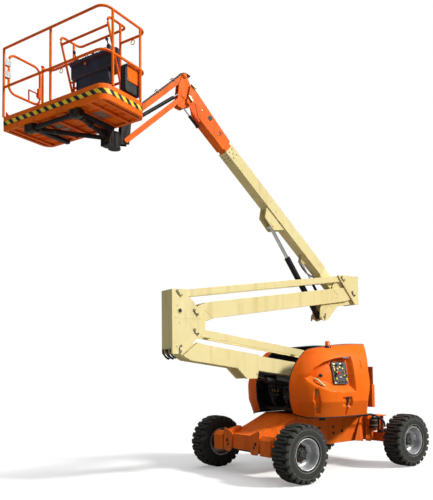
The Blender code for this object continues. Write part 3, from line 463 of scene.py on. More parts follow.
# %% Bolt tree
def bolt_tree():
    """A washer and a six-sided head on each point of a cloud."""
    tree = bpy.data.node_groups.new("bolt_heads", "GeometryNodeTree")
    sockets = tree.interface
    sockets.new_socket("Geometry", in_out="INPUT", socket_type="NodeSocketGeometry")
    for label, value in (("Across Flats", 0.02), ("Head Height", 0.01), ("Washer Width", 0.03)):
        sockets.new_socket(label, in_out="INPUT", socket_type="NodeSocketFloat").default_value = value
    sockets.new_socket("Finish", in_out="INPUT", socket_type="NodeSocketMaterial")
    sockets.new_socket("Geometry", in_out="OUTPUT", socket_type="NodeSocketGeometry")
    given = add(tree, "NodeGroupInput")
    half_flats = product(tree, given.outputs["Across Flats"], 0.577)
    head = add(tree, "GeometryNodeMeshCylinder", {"Vertices": 6, "Radius": half_flats,
                                                  "Depth": given.outputs["Head Height"]})
    lifted = add(tree, "ShaderNodeCombineXYZ", {2: product(tree, given.outputs["Head Height"], 0.5)})
    head_up = add(tree, "GeometryNodeTransform", {"Geometry": head.outputs[0],
                                                  "Translation": lifted.outputs[0]})
    washer_radius = product(tree, given.outputs["Washer Width"], 0.5)
    washer = add(tree, "GeometryNodeMeshCylinder", {"Vertices": 16, "Radius": washer_radius,
                                                    "Depth": 0.003})
    both = add(tree, "GeometryNodeJoinGeometry")
    tree.links.new(head_up.outputs[0], both.inputs[0])
    tree.links.new(washer.outputs[0], both.inputs[0])
    facing = add(tree, "GeometryNodeInputNamedAttribute", {"Name": "facing"}, data_type="FLOAT_VECTOR")
    turned_to = add(tree, "FunctionNodeAlignRotationToVector", {"Vector": facing.outputs[0]}, axis="Z")
    placed = add(tree, "GeometryNodeInstanceOnPoints", {"Points": given.outputs["Geometry"],
                                                        "Instance": both.outputs[0],
                                                        "Rotation": turned_to.outputs[0]})
    real = add(tree, "GeometryNodeRealizeInstances", {0: placed.outputs[0]})
    painted = add(tree, "GeometryNodeSetMaterial", {"Geometry": real.outputs[0],
                                                    "Material": given.outputs["Finish"]})
    add(tree, "NodeGroupOutput", {0: painted.outputs[0]})
    return tree


BOLT_TREE = bolt_tree()


def grown(name, seed_mesh, tree, values, body, soft_angle=35.0, stands_for=()):
    """Grows a tree on a seed mesh, and keeps the result as a plain mesh that rides on a body."""
    seed = new_object(name + "_seed", seed_mesh)
    growth = seed.modifiers.new("growth", "NODES")
    growth.node_group = tree
    names = {item.name: item.identifier for item in tree.interface.items_tree
             if item.item_type == "SOCKET" and item.in_out == "INPUT"}
    for label, value in values.items():
        growth[names[label]] = value
    bpy.context.view_layer.update()
    mesh = bpy.data.meshes.new_from_object(seed.evaluated_get(bpy.context.evaluated_depsgraph_get()))
    bpy.data.objects.remove(seed)
    mesh.transform(Matrix.Translation((AXLE_MIDDLE, 0, 0)))
    return shaded_piece(name, mesh, body, soft_angle, stands_for)


def cloud_of(name, places):
    """A mesh of loose points, each with the direction that what grows on it faces."""
    cloud = bpy.data.meshes.new(name + "_cloud")
    cloud.from_pydata([point for point, _ in places], [], [])
    facing = cloud.attributes.new("facing", "FLOAT_VECTOR", "POINT")
    for entry, (_, direction) in zip(facing.data, places):
        entry.vector = Vector(direction).normalized()
    return cloud


def bolts(name, places, body, flats=0.02, height=0.01, washer=0.03, finish=None):
    """places is a list of (point, direction that the head faces)."""
    return grown(name, cloud_of(name, places), BOLT_TREE,
                 {"Across Flats": flats, "Head Height": height, "Washer Width": washer,
                  "Finish": finish or zinc_bolts}, body)


print("bolt tree:", len(BOLT_TREE.nodes), "nodes")

# %% [markdown]
# ## Cleated tyres
# The tyres are foam filled and deeply cleated: two rows of bars reach in from the shoulders, offset by
# half a pitch and bent near the shoulder. The carcass is turned, and a tree repeats one bar around it.

# %% Tyre
WHEELS = {"drive_near": (-1.18, -1), "drive_far": (-1.18, 1), "steer_near": (1.18, -1),
          "steer_far": (1.18, 1)}
WHEEL_Y, WHEEL_Z = 1.0185, 0.42
BARS_PER_ROW = 23
BAR_PITCH = 2 * math.pi / BARS_PER_ROW
CARCASS = [(-0.120, 0.2262), (-0.147, 0.246), (-0.1535, 0.300), (-0.1515, 0.345), (-0.138, 0.376),
           (-0.10, 0.386), (0.0, 0.389), (0.10, 0.386), (0.138, 0.376), (0.1515, 0.345), (0.1535, 0.300),
           (0.147, 0.246), (0.120, 0.2262), (0.0, 0.2262)]
# across the tyre, top radius, foot radius, turn in pitches, half width in metres
BAR_STATIONS = [(0.1545, 0.338, 0.325, 0.42, 0.024), (0.1550, 0.384, 0.335, 0.40, 0.031),
                (0.1490, 0.404, 0.350, 0.38, 0.033), (0.1350, 0.413, 0.365, 0.34, 0.032),
                (0.1020, 0.4175, 0.372, 0.20, 0.025), (0.0800, 0.4185, 0.375, 0.06, 0.020),
                (-0.0850, 0.4200, 0.375, -0.02, 0.0180)]


def tread_bar(mirror):
    """One bar of the tread, from its shoulder to just past the tyre's middle."""
    shape = bmesh.new()
    rings = []
    for across, top, foot, pitches, half in BAR_STATIONS:
        ring = []
        for radius, width in ((foot, -1.3 * half), (top - 0.003, -half), (top, -half * 0.85),
                              (top, half * 0.85), (top - 0.003, half), (foot, 1.3 * half)):
            angle = pitches * BAR_PITCH + width / radius
            ring.append((radius * math.sin(angle), across * mirror, radius * math.cos(angle)))
        rings.append(ring)
    skin(shape, rings)
    return new_object("tread_bar", mesh_of(shape, "tread_bar"))


def tread_tree():
    """Repeats an outer and an inner bar round the carcass, half a pitch apart."""
    tree = bpy.data.node_groups.new("cleated_tyre", "GeometryNodeTree")
    sockets = tree.interface
    sockets.new_socket("Geometry", in_out="INPUT", socket_type="NodeSocketGeometry")
    sockets.new_socket("Outer Bar", in_out="INPUT", socket_type="NodeSocketObject")
    sockets.new_socket("Inner Bar", in_out="INPUT", socket_type="NodeSocketObject")
    sockets.new_socket("Bars Per Row", in_out="INPUT",
                       socket_type="NodeSocketInt").default_value = BARS_PER_ROW
    sockets.new_socket("Finish", in_out="INPUT", socket_type="NodeSocketMaterial")
    sockets.new_socket("Geometry", in_out="OUTPUT", socket_type="NodeSocketGeometry")
    given = add(tree, "NodeGroupInput")
    step = add(tree, "ShaderNodeMath", {0: 2 * math.pi, 1: given.outputs["Bars Per Row"]},
               operation="DIVIDE")
    joined = add(tree, "GeometryNodeJoinGeometry")
    tree.links.new(given.outputs["Geometry"], joined.inputs[0])
    for socket, start in (("Outer Bar", 0.0), ("Inner Bar", 0.5)):
        count = add(tree, "GeometryNodePoints", {"Count": given.outputs["Bars Per Row"]})
        index = add(tree, "GeometryNodeInputIndex")
        shifted = add(tree, "ShaderNodeMath", {0: index.outputs[0], 1: start}, operation="ADD")
        angle = add(tree, "ShaderNodeMath", {0: shifted.outputs[0], 1: step.outputs[0]},
                    operation="MULTIPLY")
        turned_by = add(tree, "ShaderNodeCombineXYZ", {1: angle.outputs[0]})
        bar = add(tree, "GeometryNodeObjectInfo", {0: given.outputs[socket]})
        row = add(tree, "GeometryNodeInstanceOnPoints", {"Points": count.outputs[0],
                                                         "Instance": bar.outputs["Geometry"],
                                                         "Rotation": turned_by.outputs[0]})
        tree.links.new(row.outputs[0], joined.inputs[0])
    real = add(tree, "GeometryNodeRealizeInstances", {0: joined.outputs[0]})
    painted = add(tree, "GeometryNodeSetMaterial", {"Geometry": real.outputs[0],
                                                    "Material": given.outputs["Finish"]})
    add(tree, "NodeGroupOutput", {0: painted.outputs[0]})
    return tree


TREAD_TREE = tread_tree()
bars = {sign: tread_bar(sign) for sign in (1, -1)}
for wheel, (wheel_x, side) in WHEELS.items():
    shape = bmesh.new()
    spun(shape, CARCASS, (0, 0, 0), (0, 1, 0), 96, looped=True)
    # a raised ring and a fine line on the sidewall
    for across in (-0.152, 0.152):
        spun(shape, [(across - 0.003, 0.290), (across + 0.003, 0.290), (across + 0.003, 0.298),
                     (across - 0.003, 0.298)], (0, 0, 0), (0, 1, 0), 96, looped=True)
    tyre = grown(f"tyre_{wheel}_cleated", mesh_of(shape, "carcass"), TREAD_TREE,
                 {"Outer Bar": bars[side], "Inner Bar": bars[-side], "Finish": tyre_rubber},
                 f"wheel_{wheel}", stands_for=[f"tyre_{wheel}"])
    tyre.data.transform(Matrix.Translation((wheel_x, side * WHEEL_Y, WHEEL_Z)))
for bar in bars.values():
    bpy.data.objects.remove(bar)
print("tyres:", len(WHEELS), "with", 2 * BARS_PER_ROW, "bars each")

# %% [markdown]
# ## Wheels
# A pressed steel wheel: a deep outer barrel in silver lacquer, a dished disc behind it, and a cast hub
# in the middle with its ring of nuts.

# %% Wheels
BARREL = [(-0.1460, 0.2240), (0.1460, 0.2240), (0.1475, 0.2200), (0.1440, 0.2110), (0.1280, 0.2060),
          (0.0600, 0.2000), (0.0150, 0.1880), (-0.0050, 0.1700), (-0.0120, 0.1500), (-0.0120, 0.0850),
          (-0.0300, 0.0850), (-0.0300, 0.1550), (-0.0400, 0.1900), (-0.1300, 0.2030), (-0.1460, 0.2120)]
HUB = [(-0.030, 0.0840), (0.0200, 0.0840), (0.0260, 0.0780), (0.0300, 0.0580), (0.0560, 0.0540),
       (0.0600, 0.0480), (0.0600, 0.0300), (0.0540, 0.0280), (0.0540, 0.0040)]
for wheel, (wheel_x, side) in WHEELS.items():
    centre, outward = (wheel_x, side * WHEEL_Y, WHEEL_Z), (0, side, 0)
    shape = bmesh.new()
    spun(shape, BARREL, centre, outward, 64, looped=True)
    finished(f"rim_{wheel}_barrel", shape, wheel_silver, f"wheel_{wheel}",
             stands_for=[f"rim_{wheel}"])
    shape = bmesh.new()
    spun(shape, HUB, centre, outward, 40)
    finished(f"rim_{wheel}_hub", shape, hub_iron, f"wheel_{wheel}", 0.001)
    shape = bmesh.new()
    spun(shape, [(0.1515, 0.250), (0.1545, 0.253), (0.1550, 0.257), (0.1530, 0.260)], centre, outward, 64,
         looped=True)
    spun(shape, [(0.1525, 0.338), (0.1548, 0.341), (0.1548, 0.344), (0.1520, 0.347)], centre, outward, 64,
         looped=True)
    finished(f"tyre_{wheel}_sidewall_lines", shape, pale_line_rubber, f"wheel_{wheel}")
    nuts = []
    for count, circle, depth in ((9, 0.125, -0.012), (8, 0.066, 0.028)):
        for k in range(count):
            angle = 2 * math.pi * k / count
            nuts.append(((wheel_x + circle * math.cos(angle), side * (WHEEL_Y + depth),
                          WHEEL_Z + circle * math.sin(angle)), outward))
    bolts(f"rim_{wheel}_nuts", nuts, f"wheel_{wheel}", 0.020, 0.014, 0.028, hub_iron)
print("wheels:", len(WHEELS), "with", len(nuts), "nuts each")

# %% [markdown]
# ## Moulded hoods
# Each hood is one large glass fibre moulding: full round corners, a sharp crease where the skirt tucks in,
# and pockets pressed into its side for the ground controls, the latch and the air slots. It could be
# sculpted or cut with Booleans. A dense skin stretched over a few level curves is simpler: a pocket is
# then only a matter of moving the points inside its outline inwards, and Solidify gives the wall.

# %% Hood level curves
HOOD_INNER_Y, HOOD_POWER = 0.40, 2.6
TAIL_SLOPE, TAIL_ROUNDING = 1.16, 0.030
# height, front x, rear x, half width
HOOD_SKIRT = [(0.92, -0.74, 0.95, 0.88), (1.10, -0.80, 0.99, 0.98)]
HOOD_BODY = [(1.10, -0.80, 0.99, 0.98), (1.22, -0.81, 1.02, 0.979), (1.34, -0.815, 1.04, 0.975),
             (1.45, -0.795, 1.03, 0.963), (1.55, -0.76, 1.01, 0.945), (1.70, -0.66, 0.99, 0.90),
             (1.82, -0.54, 0.965, 0.84), (1.90, -0.42, 0.945, 0.77), (1.95, -0.12, 0.925, 0.68),
             (1.98, 0.20, 0.905, 0.57), (1.998, 0.50, 0.89, 0.48), (2.000, 0.68, 0.72, 0.41)]
LIP_DROP = 0.055


def evenly(route, spacing):
    """The same route with its points at an even spacing. Works for points of any dimension."""
    result, left = [route[0]], spacing
    for a, b in zip(route, route[1:]):
        gap = (b - a).length
        done = 0.0
        while gap - done >= left:
            done += left
            result.append(a.lerp(b, done / gap))
            left = spacing
        left -= gap - done
    return result + [route[-1]]


def flat_normal(x, y, level):
    """Which way the hood's side faces in plan, where y is the distance from the machine's middle."""
    _, front, rear, half = level
    across = (x - (front + rear) / 2) / ((rear - front) / 2)
    out = max(0.0, (y - HOOD_INNER_Y) / (half - HOOD_INNER_Y))
    slope = Vector((math.copysign(abs(across) ** (HOOD_POWER - 1), across) / ((rear - front) / 2),
                    out ** (HOOD_POWER - 1) / (half - HOOD_INNER_Y)))
    return slope.normalized()


def spread_over(route, count):
    """Exactly count points, evenly spaced from one end of a route to the other."""
    length = sum((b - a).length for a, b in zip(route, route[1:]))
    if length < 1e-6:
        return [route[0]] * count
    points = evenly(route, length / (count - 1) * 1.000001)
    return points[:count - 1] + [route[-1]]


def hood_level(level, columns):
    """Points round one level, from the front edge round the side and the slanting tail to the rear edge."""
    _, front, rear, half = level
    bulge = max(half - HOOD_INNER_Y, 0.001)
    side_run, tail_run = [], []
    for k in range(541):
        angle = math.pi * k / 540
        across = math.copysign(abs(math.cos(angle)) ** (2 / HOOD_POWER), math.cos(angle))
        out = math.sin(angle) ** (2 / HOOD_POWER) if 0 < k < 540 else 0.0
        x, y = (front + rear) / 2 - across * (rear - front) / 2, HOOD_INNER_Y + out * bulge
        limit = rear - TAIL_SLOPE * (y - HOOD_INNER_Y)
        if x <= limit and not tail_run:
            side_run.append(Vector((x, y)))
        else:
            tail_run.append(Vector((limit, y)))
    tail_run = tail_run or [Vector((rear, HOOD_INNER_Y))]
    corner = tail_run[0]
    tail_length = (tail_run[-1] - corner).length
    reach = min(TAIL_ROUNDING, tail_length * 0.4)
    start = corner + Vector((-reach, 0))
    end = corner.lerp(tail_run[-1], reach / tail_length) if tail_length > 1e-6 else corner
    side_run = [point for point in side_run if point.x < start.x] + [start]
    bend = [start.lerp(corner, t).lerp(corner.lerp(end, t), t) for t in (0.25, 0.5, 0.75)]
    tail_columns = columns // 4
    return (spread_over(side_run, columns - tail_columns - 3) + bend
            + spread_over([end, tail_run[-1]], tail_columns))


skirt_rows = [Vector(HOOD_SKIRT[0]).lerp(Vector(HOOD_SKIRT[1]), k / 15) for k in range(15)]
hood_rows = skirt_rows + evenly(smooth_route(HOOD_BODY, 12), 0.012)
print("hood rows:", len(hood_rows))


def level_at(z):
    """The level curve at a height, between the rows."""
    for low, high in zip(hood_rows, hood_rows[1:]):
        if low[0] <= z <= high[0]:
            return low.lerp(high, (z - low[0]) / max(1e-6, high[0] - low[0]))
    return hood_rows[-1]


def on_hood(side, x, z, out=0.0):
    """A point of a hood's side at a given x and height, moved out from the surface."""
    level = level_at(z)
    _, front, rear, half = level
    across = min(0.999, abs((x - (front + rear) / 2) / ((rear - front) / 2)))
    y = HOOD_INNER_Y + (1 - across ** HOOD_POWER) ** (1 / HOOD_POWER) * (half - HOOD_INNER_Y)
    facing = flat_normal(x, y, level)
    return Vector((x + facing.x * out, side * (y + facing.y * out), z))


# %% [markdown]
# ## Pockets in the hoods
# The mould presses pockets and slots into the hood's side. Each is an outline with a depth. The large
# pocket's floor is a wide sloping shelf, so its walls have their own widths, edge by edge.

# %% Pockets pressed into the hoods
# outlines of (x, height) on the hood's side
CONTROL_POCKET = [(-0.735, 1.470), (-0.617, 1.606), (-0.454, 1.702), (-0.260, 1.757), (0.083, 1.789),
                  (0.062, 1.650), (0.051, 1.513), (0.051, 1.236), (-0.192, 1.241), (-0.433, 1.262),
                  (-0.642, 1.346), (-0.719, 1.421)]
CONTROL_WALLS = [0.05, 0.02, 0.02, 0.02, 0.02, 0.05, 0.055, 0.06, 0.11, 0.11, 0.11, 0.08]
TALL_SLOT = [(-0.662, 1.302), (-0.612, 1.302), (-0.585, 1.138), (-0.548, 0.966), (-0.603, 0.966),
             (-0.674, 1.138)]
LATCH_POCKET = [(-0.230, 1.170), (-0.045, 1.171), (-0.014, 1.039), (-0.078, 1.032), (-0.093, 0.930),
                (-0.116, 0.930), (-0.132, 1.038), (-0.212, 1.053)]
SMALL_SLOT = [(0.233, 1.729), (0.262, 1.729), (0.247, 1.579), (0.217, 1.579)]
AIR_SLOTS = [[(0.14 + 0.07 * k, 1.60), (0.18 + 0.07 * k, 1.60), (0.17 + 0.07 * k, 1.34),
              (0.13 + 0.07 * k, 1.34)] for k in range(3)]
POCKETS = {-1: [(CONTROL_POCKET, 0.095, CONTROL_WALLS), (TALL_SLOT, 0.040, None),
                (LATCH_POCKET, 0.030, None), (SMALL_SLOT, 0.022, None)],
           1: [(CONTROL_POCKET, 0.070, CONTROL_WALLS), (TALL_SLOT, 0.040, None),
               (LATCH_POCKET, 0.030, None)] + [(slot, 0.020, None) for slot in AIR_SLOTS]}


def share_of_depth(x, z, outline, walls):
    """0 outside an outline, rising to 1 where the point is past the sloping wall."""
    inside, nearest = False, 9.0
    for k, (x1, z1) in enumerate(outline):
        x0, z0 = outline[k - 1]
        if (z0 > z) != (z1 > z) and x < (x1 - x0) * (z - z0) / (z1 - z0) + x0:
            inside = not inside
        run, climb = x1 - x0, z1 - z0
        t = max(0.0, min(1.0, ((x - x0) * run + (z - z0) * climb) / (run * run + climb * climb)))
        width = walls[k] if walls else 0.014
        nearest = min(nearest, math.hypot(x - x0 - t * run, z - z0 - t * climb) / width)
    return min(1.0, nearest) if inside else 0.0


def pressed_in(x, y, z, side):
    """How far the skin is pressed in at a point. The top, near the middle, has no pockets."""
    if y <= 0.58:
        return 0.0
    return max(depth * share_of_depth(x, z, outline, walls) for outline, depth, walls in POCKETS[side])


print("pockets:", {side: len(pockets) for side, pockets in POCKETS.items()})

# %% [markdown]
# ## The hoods' skin
# One grid of points per hood, a row for each level. Solidify gives the moulding its 12 mm wall with a black
# inside, painted shade of the hollow under the hood, and a rubber seal runs along the edges that close on the
# turntable.

# %% Hoods
HOOD_COLUMNS = 168
for side_name, side in (("near", -1), ("far", 1)):
    shape = bmesh.new()
    grid = []
    for level in hood_rows:
        row = []
        for x, y in hood_level(level, HOOD_COLUMNS):
            depth = pressed_in(x, y, level[0], side)
            facing = flat_normal(min(x, 0.25), y, level)
            low_share = max(0.0, (1.10 - level[0]) / 0.18) * min(1.0, (y - HOOD_INNER_Y) / 0.25)
            row.append(shape.verts.new((x - facing.x * depth, side * (y - facing.y * depth),
                                        level[0] - LIP_DROP * low_share)))
        grid.append(row)
    for low, high in zip(grid, grid[1:]):
        for k in range(HOOD_COLUMNS - 1):
            shape.faces.new((low[k], low[k + 1], high[k + 1], high[k]))
    hood = finished(f"hood_{side_name}_moulding", shape, orange_gelcoat, f"hood_{side_name}",
                    soft_angle=28, stands_for=[f"hood_{side_name}"])
    outward = hood.data.polygons[HOOD_COLUMNS * 30 + HOOD_COLUMNS // 2].normal
    if outward.y * side < 0:
        hood.data.flip_normals()
    # the inside is coloured black: painted shade of the hollow under the hood
    hood.data.materials.append(black_plastic)
    wall = hood.modifiers.new("wall", "SOLIDIFY")
    wall.thickness, wall.offset, wall.use_rim = 0.012, -1.0, True
    wall.material_offset = 1
    # rubber seals: down the two edges that meet the middle, and along the lower lip
    seal = bmesh.new()
    front_edge = [Vector((level[1] + 0.004, side * (HOOD_INNER_Y - 0.004), level[0]))
                  for level in hood_rows[::3]]
    rear_edge = [Vector((level[2] - 0.004, side * (HOOD_INNER_Y - 0.004), level[0]))
                 for level in hood_rows[::3]]
    tube(seal, front_edge + rear_edge[::-1][1:], 0.010, 8)
    lip = [Vector((x, side * (y - 0.004), HOOD_SKIRT[0][0] - LIP_DROP * min(1.0,
                                                                            (y - HOOD_INNER_Y) / 0.25)))
           for x, y in hood_level(hood_rows[0], 80)]
    tube(seal, lip, 0.009, 8)
    finished(f"hood_{side_name}_seals", seal, seal_rubber, f"hood_{side_name}")
    print(f"hood_{side_name}:", len(hood.data.polygons), "faces")

# %% [markdown]
# ## Ground controls
# In the near hood's large pocket a raised bead frames a black panel with its switches, a key, a dial and
# the red stop button. A second small set of things sits round it: a turning latch, a bent handle and the
# T shaped pocket of the hood's lock. Labels are plain yellow and white patches.

# %% Ground controls
def hood_sheet(shape, outline, inner, outer, side=-1):
    """A thin sheet that follows the hood's side, between two distances from its surface."""
    skin(shape, [[on_hood(side, x, z, out) for x, z in outline] for out in (inner, outer)])


def hood_disc(shape, x, z, inner, outer, radius, side=-1, sides=20):
    """A chamfered button that stands on the hood's side."""
    base = on_hood(side, x, z, inner)
    facing = (on_hood(side, x, z, inner + 0.01) - base).normalized()
    spun(shape, [(0, radius), (outer - inner - radius * 0.2, radius), (outer - inner, radius * 0.8)],
         base, facing, sides)


PANEL = [(-0.300, 1.700), (-0.050, 1.700), (-0.030, 1.680), (-0.045, 1.382), (-0.065, 1.362),
         (-0.315, 1.362), (-0.332, 1.382), (-0.318, 1.682)]
FRAME_LINE = [(-0.340, 1.728), (-0.005, 1.728), (-0.020, 1.336), (-0.355, 1.336)]
PANEL_BACK = -0.095
PANEL_FACE = PANEL_BACK + 0.034


def panel_mark(shape, x, z, wide, high):
    """A thin bare patch on the panel."""
    hood_sheet(shape, [(x - wide, z - high), (x + wide, z - high), (x + wide, z + high),
                       (x - wide, z + high)], PANEL_FACE, PANEL_FACE + 0.0015)


def latch_handle(shape, side):
    """The hood's T shaped handle in its pocket."""
    hood_sheet(shape, [(-0.150, 1.168), (-0.085, 1.168), (-0.092, 1.080), (-0.120, 1.080)], -0.034,
               -0.008, side)
    hood_sheet(shape, [(-0.120, 1.085), (-0.098, 1.085), (-0.100, 0.940), (-0.116, 0.940)], -0.030,
               -0.012, side)


shape = bmesh.new()
tube(shape, rounded_route([on_hood(-1, x, z, PANEL_BACK + 0.004) for x, z in FRAME_LINE], 0.04, 5,
                          closed=True), 0.013, 10, closed=True)
finished("ground_panel_bead", shape, orange_gelcoat, "hood_near")
shape = bmesh.new()
hood_sheet(shape, PANEL, PANEL_BACK - 0.004, PANEL_FACE)
# a thin black strip at the pocket's top edge: painted shade of a narrow slot
hood_sheet(shape, [(-0.110, 1.772), (0.030, 1.781), (0.030, 1.763), (-0.110, 1.754)], -0.006, 0.002)
for x, z, radius, height in ((-0.230, 1.655, 0.017, 0.012), (-0.120, 1.655, 0.017, 0.012),
                             (-0.085, 1.560, 0.013, 0.016), (-0.085, 1.490, 0.013, 0.016),
                             (-0.270, 1.560, 0.010, 0.020)):
    hood_disc(shape, x, z, PANEL_FACE, PANEL_FACE + height, radius)
for column in range(4):
    hood_disc(shape, -0.285 + 0.062 * column, 1.400, PANEL_FACE, PANEL_FACE + 0.022, 0.008, sides=10)
finished("ground_panel", shape, black_plastic, "hood_near", 0.002)
shape = bmesh.new()
for k in range(6):
    angle = math.radians(170 - 40 * k)
    panel_mark(shape, -0.175 + 0.075 * math.cos(angle), 1.535 + 0.085 * math.sin(angle), 0.013, 0.010)
for x, z, wide, high in ((-0.275, 1.672, 0.020, 0.008), (-0.290, 1.630, 0.010, 0.010),
                         (-0.290, 1.590, 0.008, 0.014), (-0.070, 1.440, 0.016, 0.010),
                         (-0.075, 1.405, 0.012, 0.008), (-0.275, 1.450, 0.012, 0.012)):
    panel_mark(shape, x, z, wide, high)
finished("ground_panel_marks", shape, yellow_vinyl, "hood_near")
shape = bmesh.new()
for x, z, wide, high in ((-0.300, 1.385, 0.020, 0.012), (-0.190, 1.470, 0.022, 0.006),
                         (-0.150, 1.672, 0.018, 0.006)):
    panel_mark(shape, x, z, wide, high)
finished("ground_panel_plates", shape, white_vinyl, "hood_near")
shape = bmesh.new()
hood_disc(shape, -0.245, 1.530, PANEL_FACE, PANEL_FACE + 0.030, 0.016)
hood_disc(shape, -0.245, 1.530, PANEL_FACE + 0.028, PANEL_FACE + 0.040, 0.024)
finished("ground_stop_button", shape, red_plastic, "hood_near")
shape = bmesh.new()
lever = [on_hood(-1, -0.640, 1.452, -0.055), on_hood(-1, -0.612, 1.440, -0.020),
         on_hood(-1, -0.560, 1.372, -0.012), on_hood(-1, -0.520, 1.345, -0.030)]
for start_point, end_point in zip(lever, lever[1:]):
    tube(shape, [start_point, end_point], 0.017, 10)
finished("pump_lever", shape, lever_beige, "hood_near", 0.002)
shape = bmesh.new()
hood_disc(shape, -0.555, 1.500, -0.095, -0.040, 0.012, sides=12)
hood_disc(shape, -0.555, 1.500, -0.050, -0.020, 0.028)
latch_handle(shape, -1)
finished("hood_near_latches", shape, black_plastic, "hood_near", 0.002)
shape = bmesh.new()
hood_sheet(shape, [(-0.642, 1.285), (-0.606, 1.285), (-0.566, 0.990), (-0.600, 0.990)], -0.042, -0.022)
finished("tank_sight_strip", shape, olive_strip, "hood_near", 0.002)
shape = bmesh.new()
latch_handle(shape, 1)
for slot in AIR_SLOTS:
    (x0, z0), (x1, _), (x2, z2), (x3, _) = slot
    for k in range(7):
        t = (k + 0.5) / 7
        left, right_x, z = x0 + (x3 - x0) * t, x1 + (x2 - x1) * t, z0 + (z2 - z0) * t
        hood_sheet(shape, [(left, z - 0.004), (right_x, z - 0.004), (right_x, z + 0.008),
                           (left, z + 0.008)], -0.022, -0.004, 1)
finished("hood_far_latches", shape, black_plastic, "hood_far", 0.001)
print("hood fittings done, pieces:", len(made_pieces))

# %% [markdown]
# ## Platform pan
# A pressed steel pan: upright toe board all round with a rolled rim, an inward flange below, a tread plate
# floor and cross ribs under it. It could be one shape with a bump map, but it is seen mostly from below, so
# the flange, the ribs and the mesh windows are real sheets. The tread lozenges repeat, so a node tree
# lays them on a cloud of points.

# %% Platform frame of reference and pan
PLATFORM_ORIGIN = Vector((-4.746, 0.785, 4.855))
ALONG, DEEP = Vector((0.3584, -0.9336, 0.0)), Vector((0.9336, 0.3584, 0.0))
PAN_LENGTH, PAN_DEPTH, PAN_CORNER = 1.83, 0.76, 0.13


def platform_at(a, b, z):
    """A point in the platform's own directions: along it from the gate, across it, and up from its floor."""
    return PLATFORM_ORIGIN + ALONG * a + DEEP * b + Vector((0, 0, z))


def platform_slab(shape, outline, low_z, high_z):
    """A flat plate: outline of (a, b) points between two heights."""
    skin(shape, [[platform_at(a, b, z) for a, b in outline] for z in (low_z, high_z)])


def platform_block(shape, a0, a1, b0, b1, z0, z1):
    platform_slab(shape, [(a0, b0), (a1, b0), (a1, b1), (a0, b1)], z0, z1)


def pan_edge(inset, steps=8):
    """The pan's outline in (a, b): sharp beside the gate's hinges, rounded at the other three corners."""
    low, far_a, far_b = inset, PAN_LENGTH - inset, PAN_DEPTH - inset
    radius, points = PAN_CORNER - inset, [(low, low)]
    for centre_a, centre_b, start in ((far_a - radius, low + radius, -90),
                                      (far_a - radius, far_b - radius, 0),
                                      (low + radius, far_b - radius, 90)):
        for k in range(steps + 1):
            angle = math.radians(start + 90 * k / steps)
            points.append((centre_a + radius * math.cos(angle), centre_b + radius * math.sin(angle)))
    return points


def pan_ring(inset, z):
    """The pan's outline at a height, moved in from the outside."""
    return [platform_at(a, b, z) for a, b in pan_edge(inset)]


shape = bmesh.new()
skin(shape, [pan_ring(0.001, -0.046), pan_ring(0.0, 0.141), pan_ring(0.002, 0.145), pan_ring(0.007, 0.143),
             pan_ring(0.008, -0.040), pan_ring(0.045, -0.040), pan_ring(0.045, -0.045)], looped=True)
platform_slab(shape, pan_edge(0.006), -0.020, -0.014)
for a in (0.12, 0.36, 0.60, 0.84, 1.08, 1.32, 1.56, 1.74):
    platform_block(shape, a - 0.004, a + 0.004, 0.01, 0.75, -0.044, -0.018)
    platform_block(shape, a - 0.022, a + 0.022, 0.01, 0.75, -0.050, -0.044)
for b in (0.26, 0.50):
    platform_block(shape, 0.02, 1.81, b - 0.003, b + 0.003, -0.040, -0.018)
finished("platform_pan", shape, orange_enamel, "platform", stands_for=("platform_floor",))

shape = bmesh.new()
for a in (0.16, 0.64, 1.12, 1.60):
    for row in range(5):
        b = 0.06 + 0.16 * row
        platform_slab(shape, [(a, b), (a + 0.10, b), (a + 0.13, b + 0.035), (a + 0.03, b + 0.035)],
                      -0.036, -0.018)
finished("pan_pressed_ribs", shape, orange_enamel, "platform", 0.004)

shape = bmesh.new()
for first, last in ((0.40, 0.80), (1.12, 1.52)):
    for k in range(16):
        a = first + (last - first) * k / 15
        platform_slab(shape, [(a, 0.28), (a + 0.006, 0.28), (a + 0.026, 0.48), (a + 0.020, 0.48)], -0.027,
                      -0.023)
        platform_slab(shape, [(a + 0.020, 0.28), (a + 0.026, 0.28), (a + 0.006, 0.48), (a, 0.48)],
                      -0.0235, -0.0205)
finished("pan_mesh_windows", shape, galvanised, "platform")
print("pan:", len(pan_edge(0.0)), "points round the edge")

# %% [markdown]
# ## Hazard band
# Self-adhesive tape in slanting black and yellow blocks round the toe board. A striped material would need
# a coordinate that follows the corners; separate tape blocks laid along the edge do that by themselves.

# %% Hazard tape
def along_edge(out):
    """The pan's outline as a closed run of points a given distance outside it, with the length so far."""
    points = [Vector((a, b)) for a, b in pan_edge(-out, 12)]
    points.append(points[0])
    lengths = [0.0]
    for start, end in zip(points, points[1:]):
        lengths.append(lengths[-1] + (end - start).length)
    return points, lengths


def edge_place(run, s):
    """The point of a run that lies straight out from the length s along the pan's own edge."""
    points, lengths = run[0], tape_inner[1]
    s = max(0.0, min(s, lengths[-1] - 1e-6))
    k = max(i for i, reached in enumerate(lengths) if reached <= s)
    k = min(k, len(points) - 2)
    return points[k].lerp(points[k + 1], (s - lengths[k]) / (lengths[k + 1] - lengths[k]))


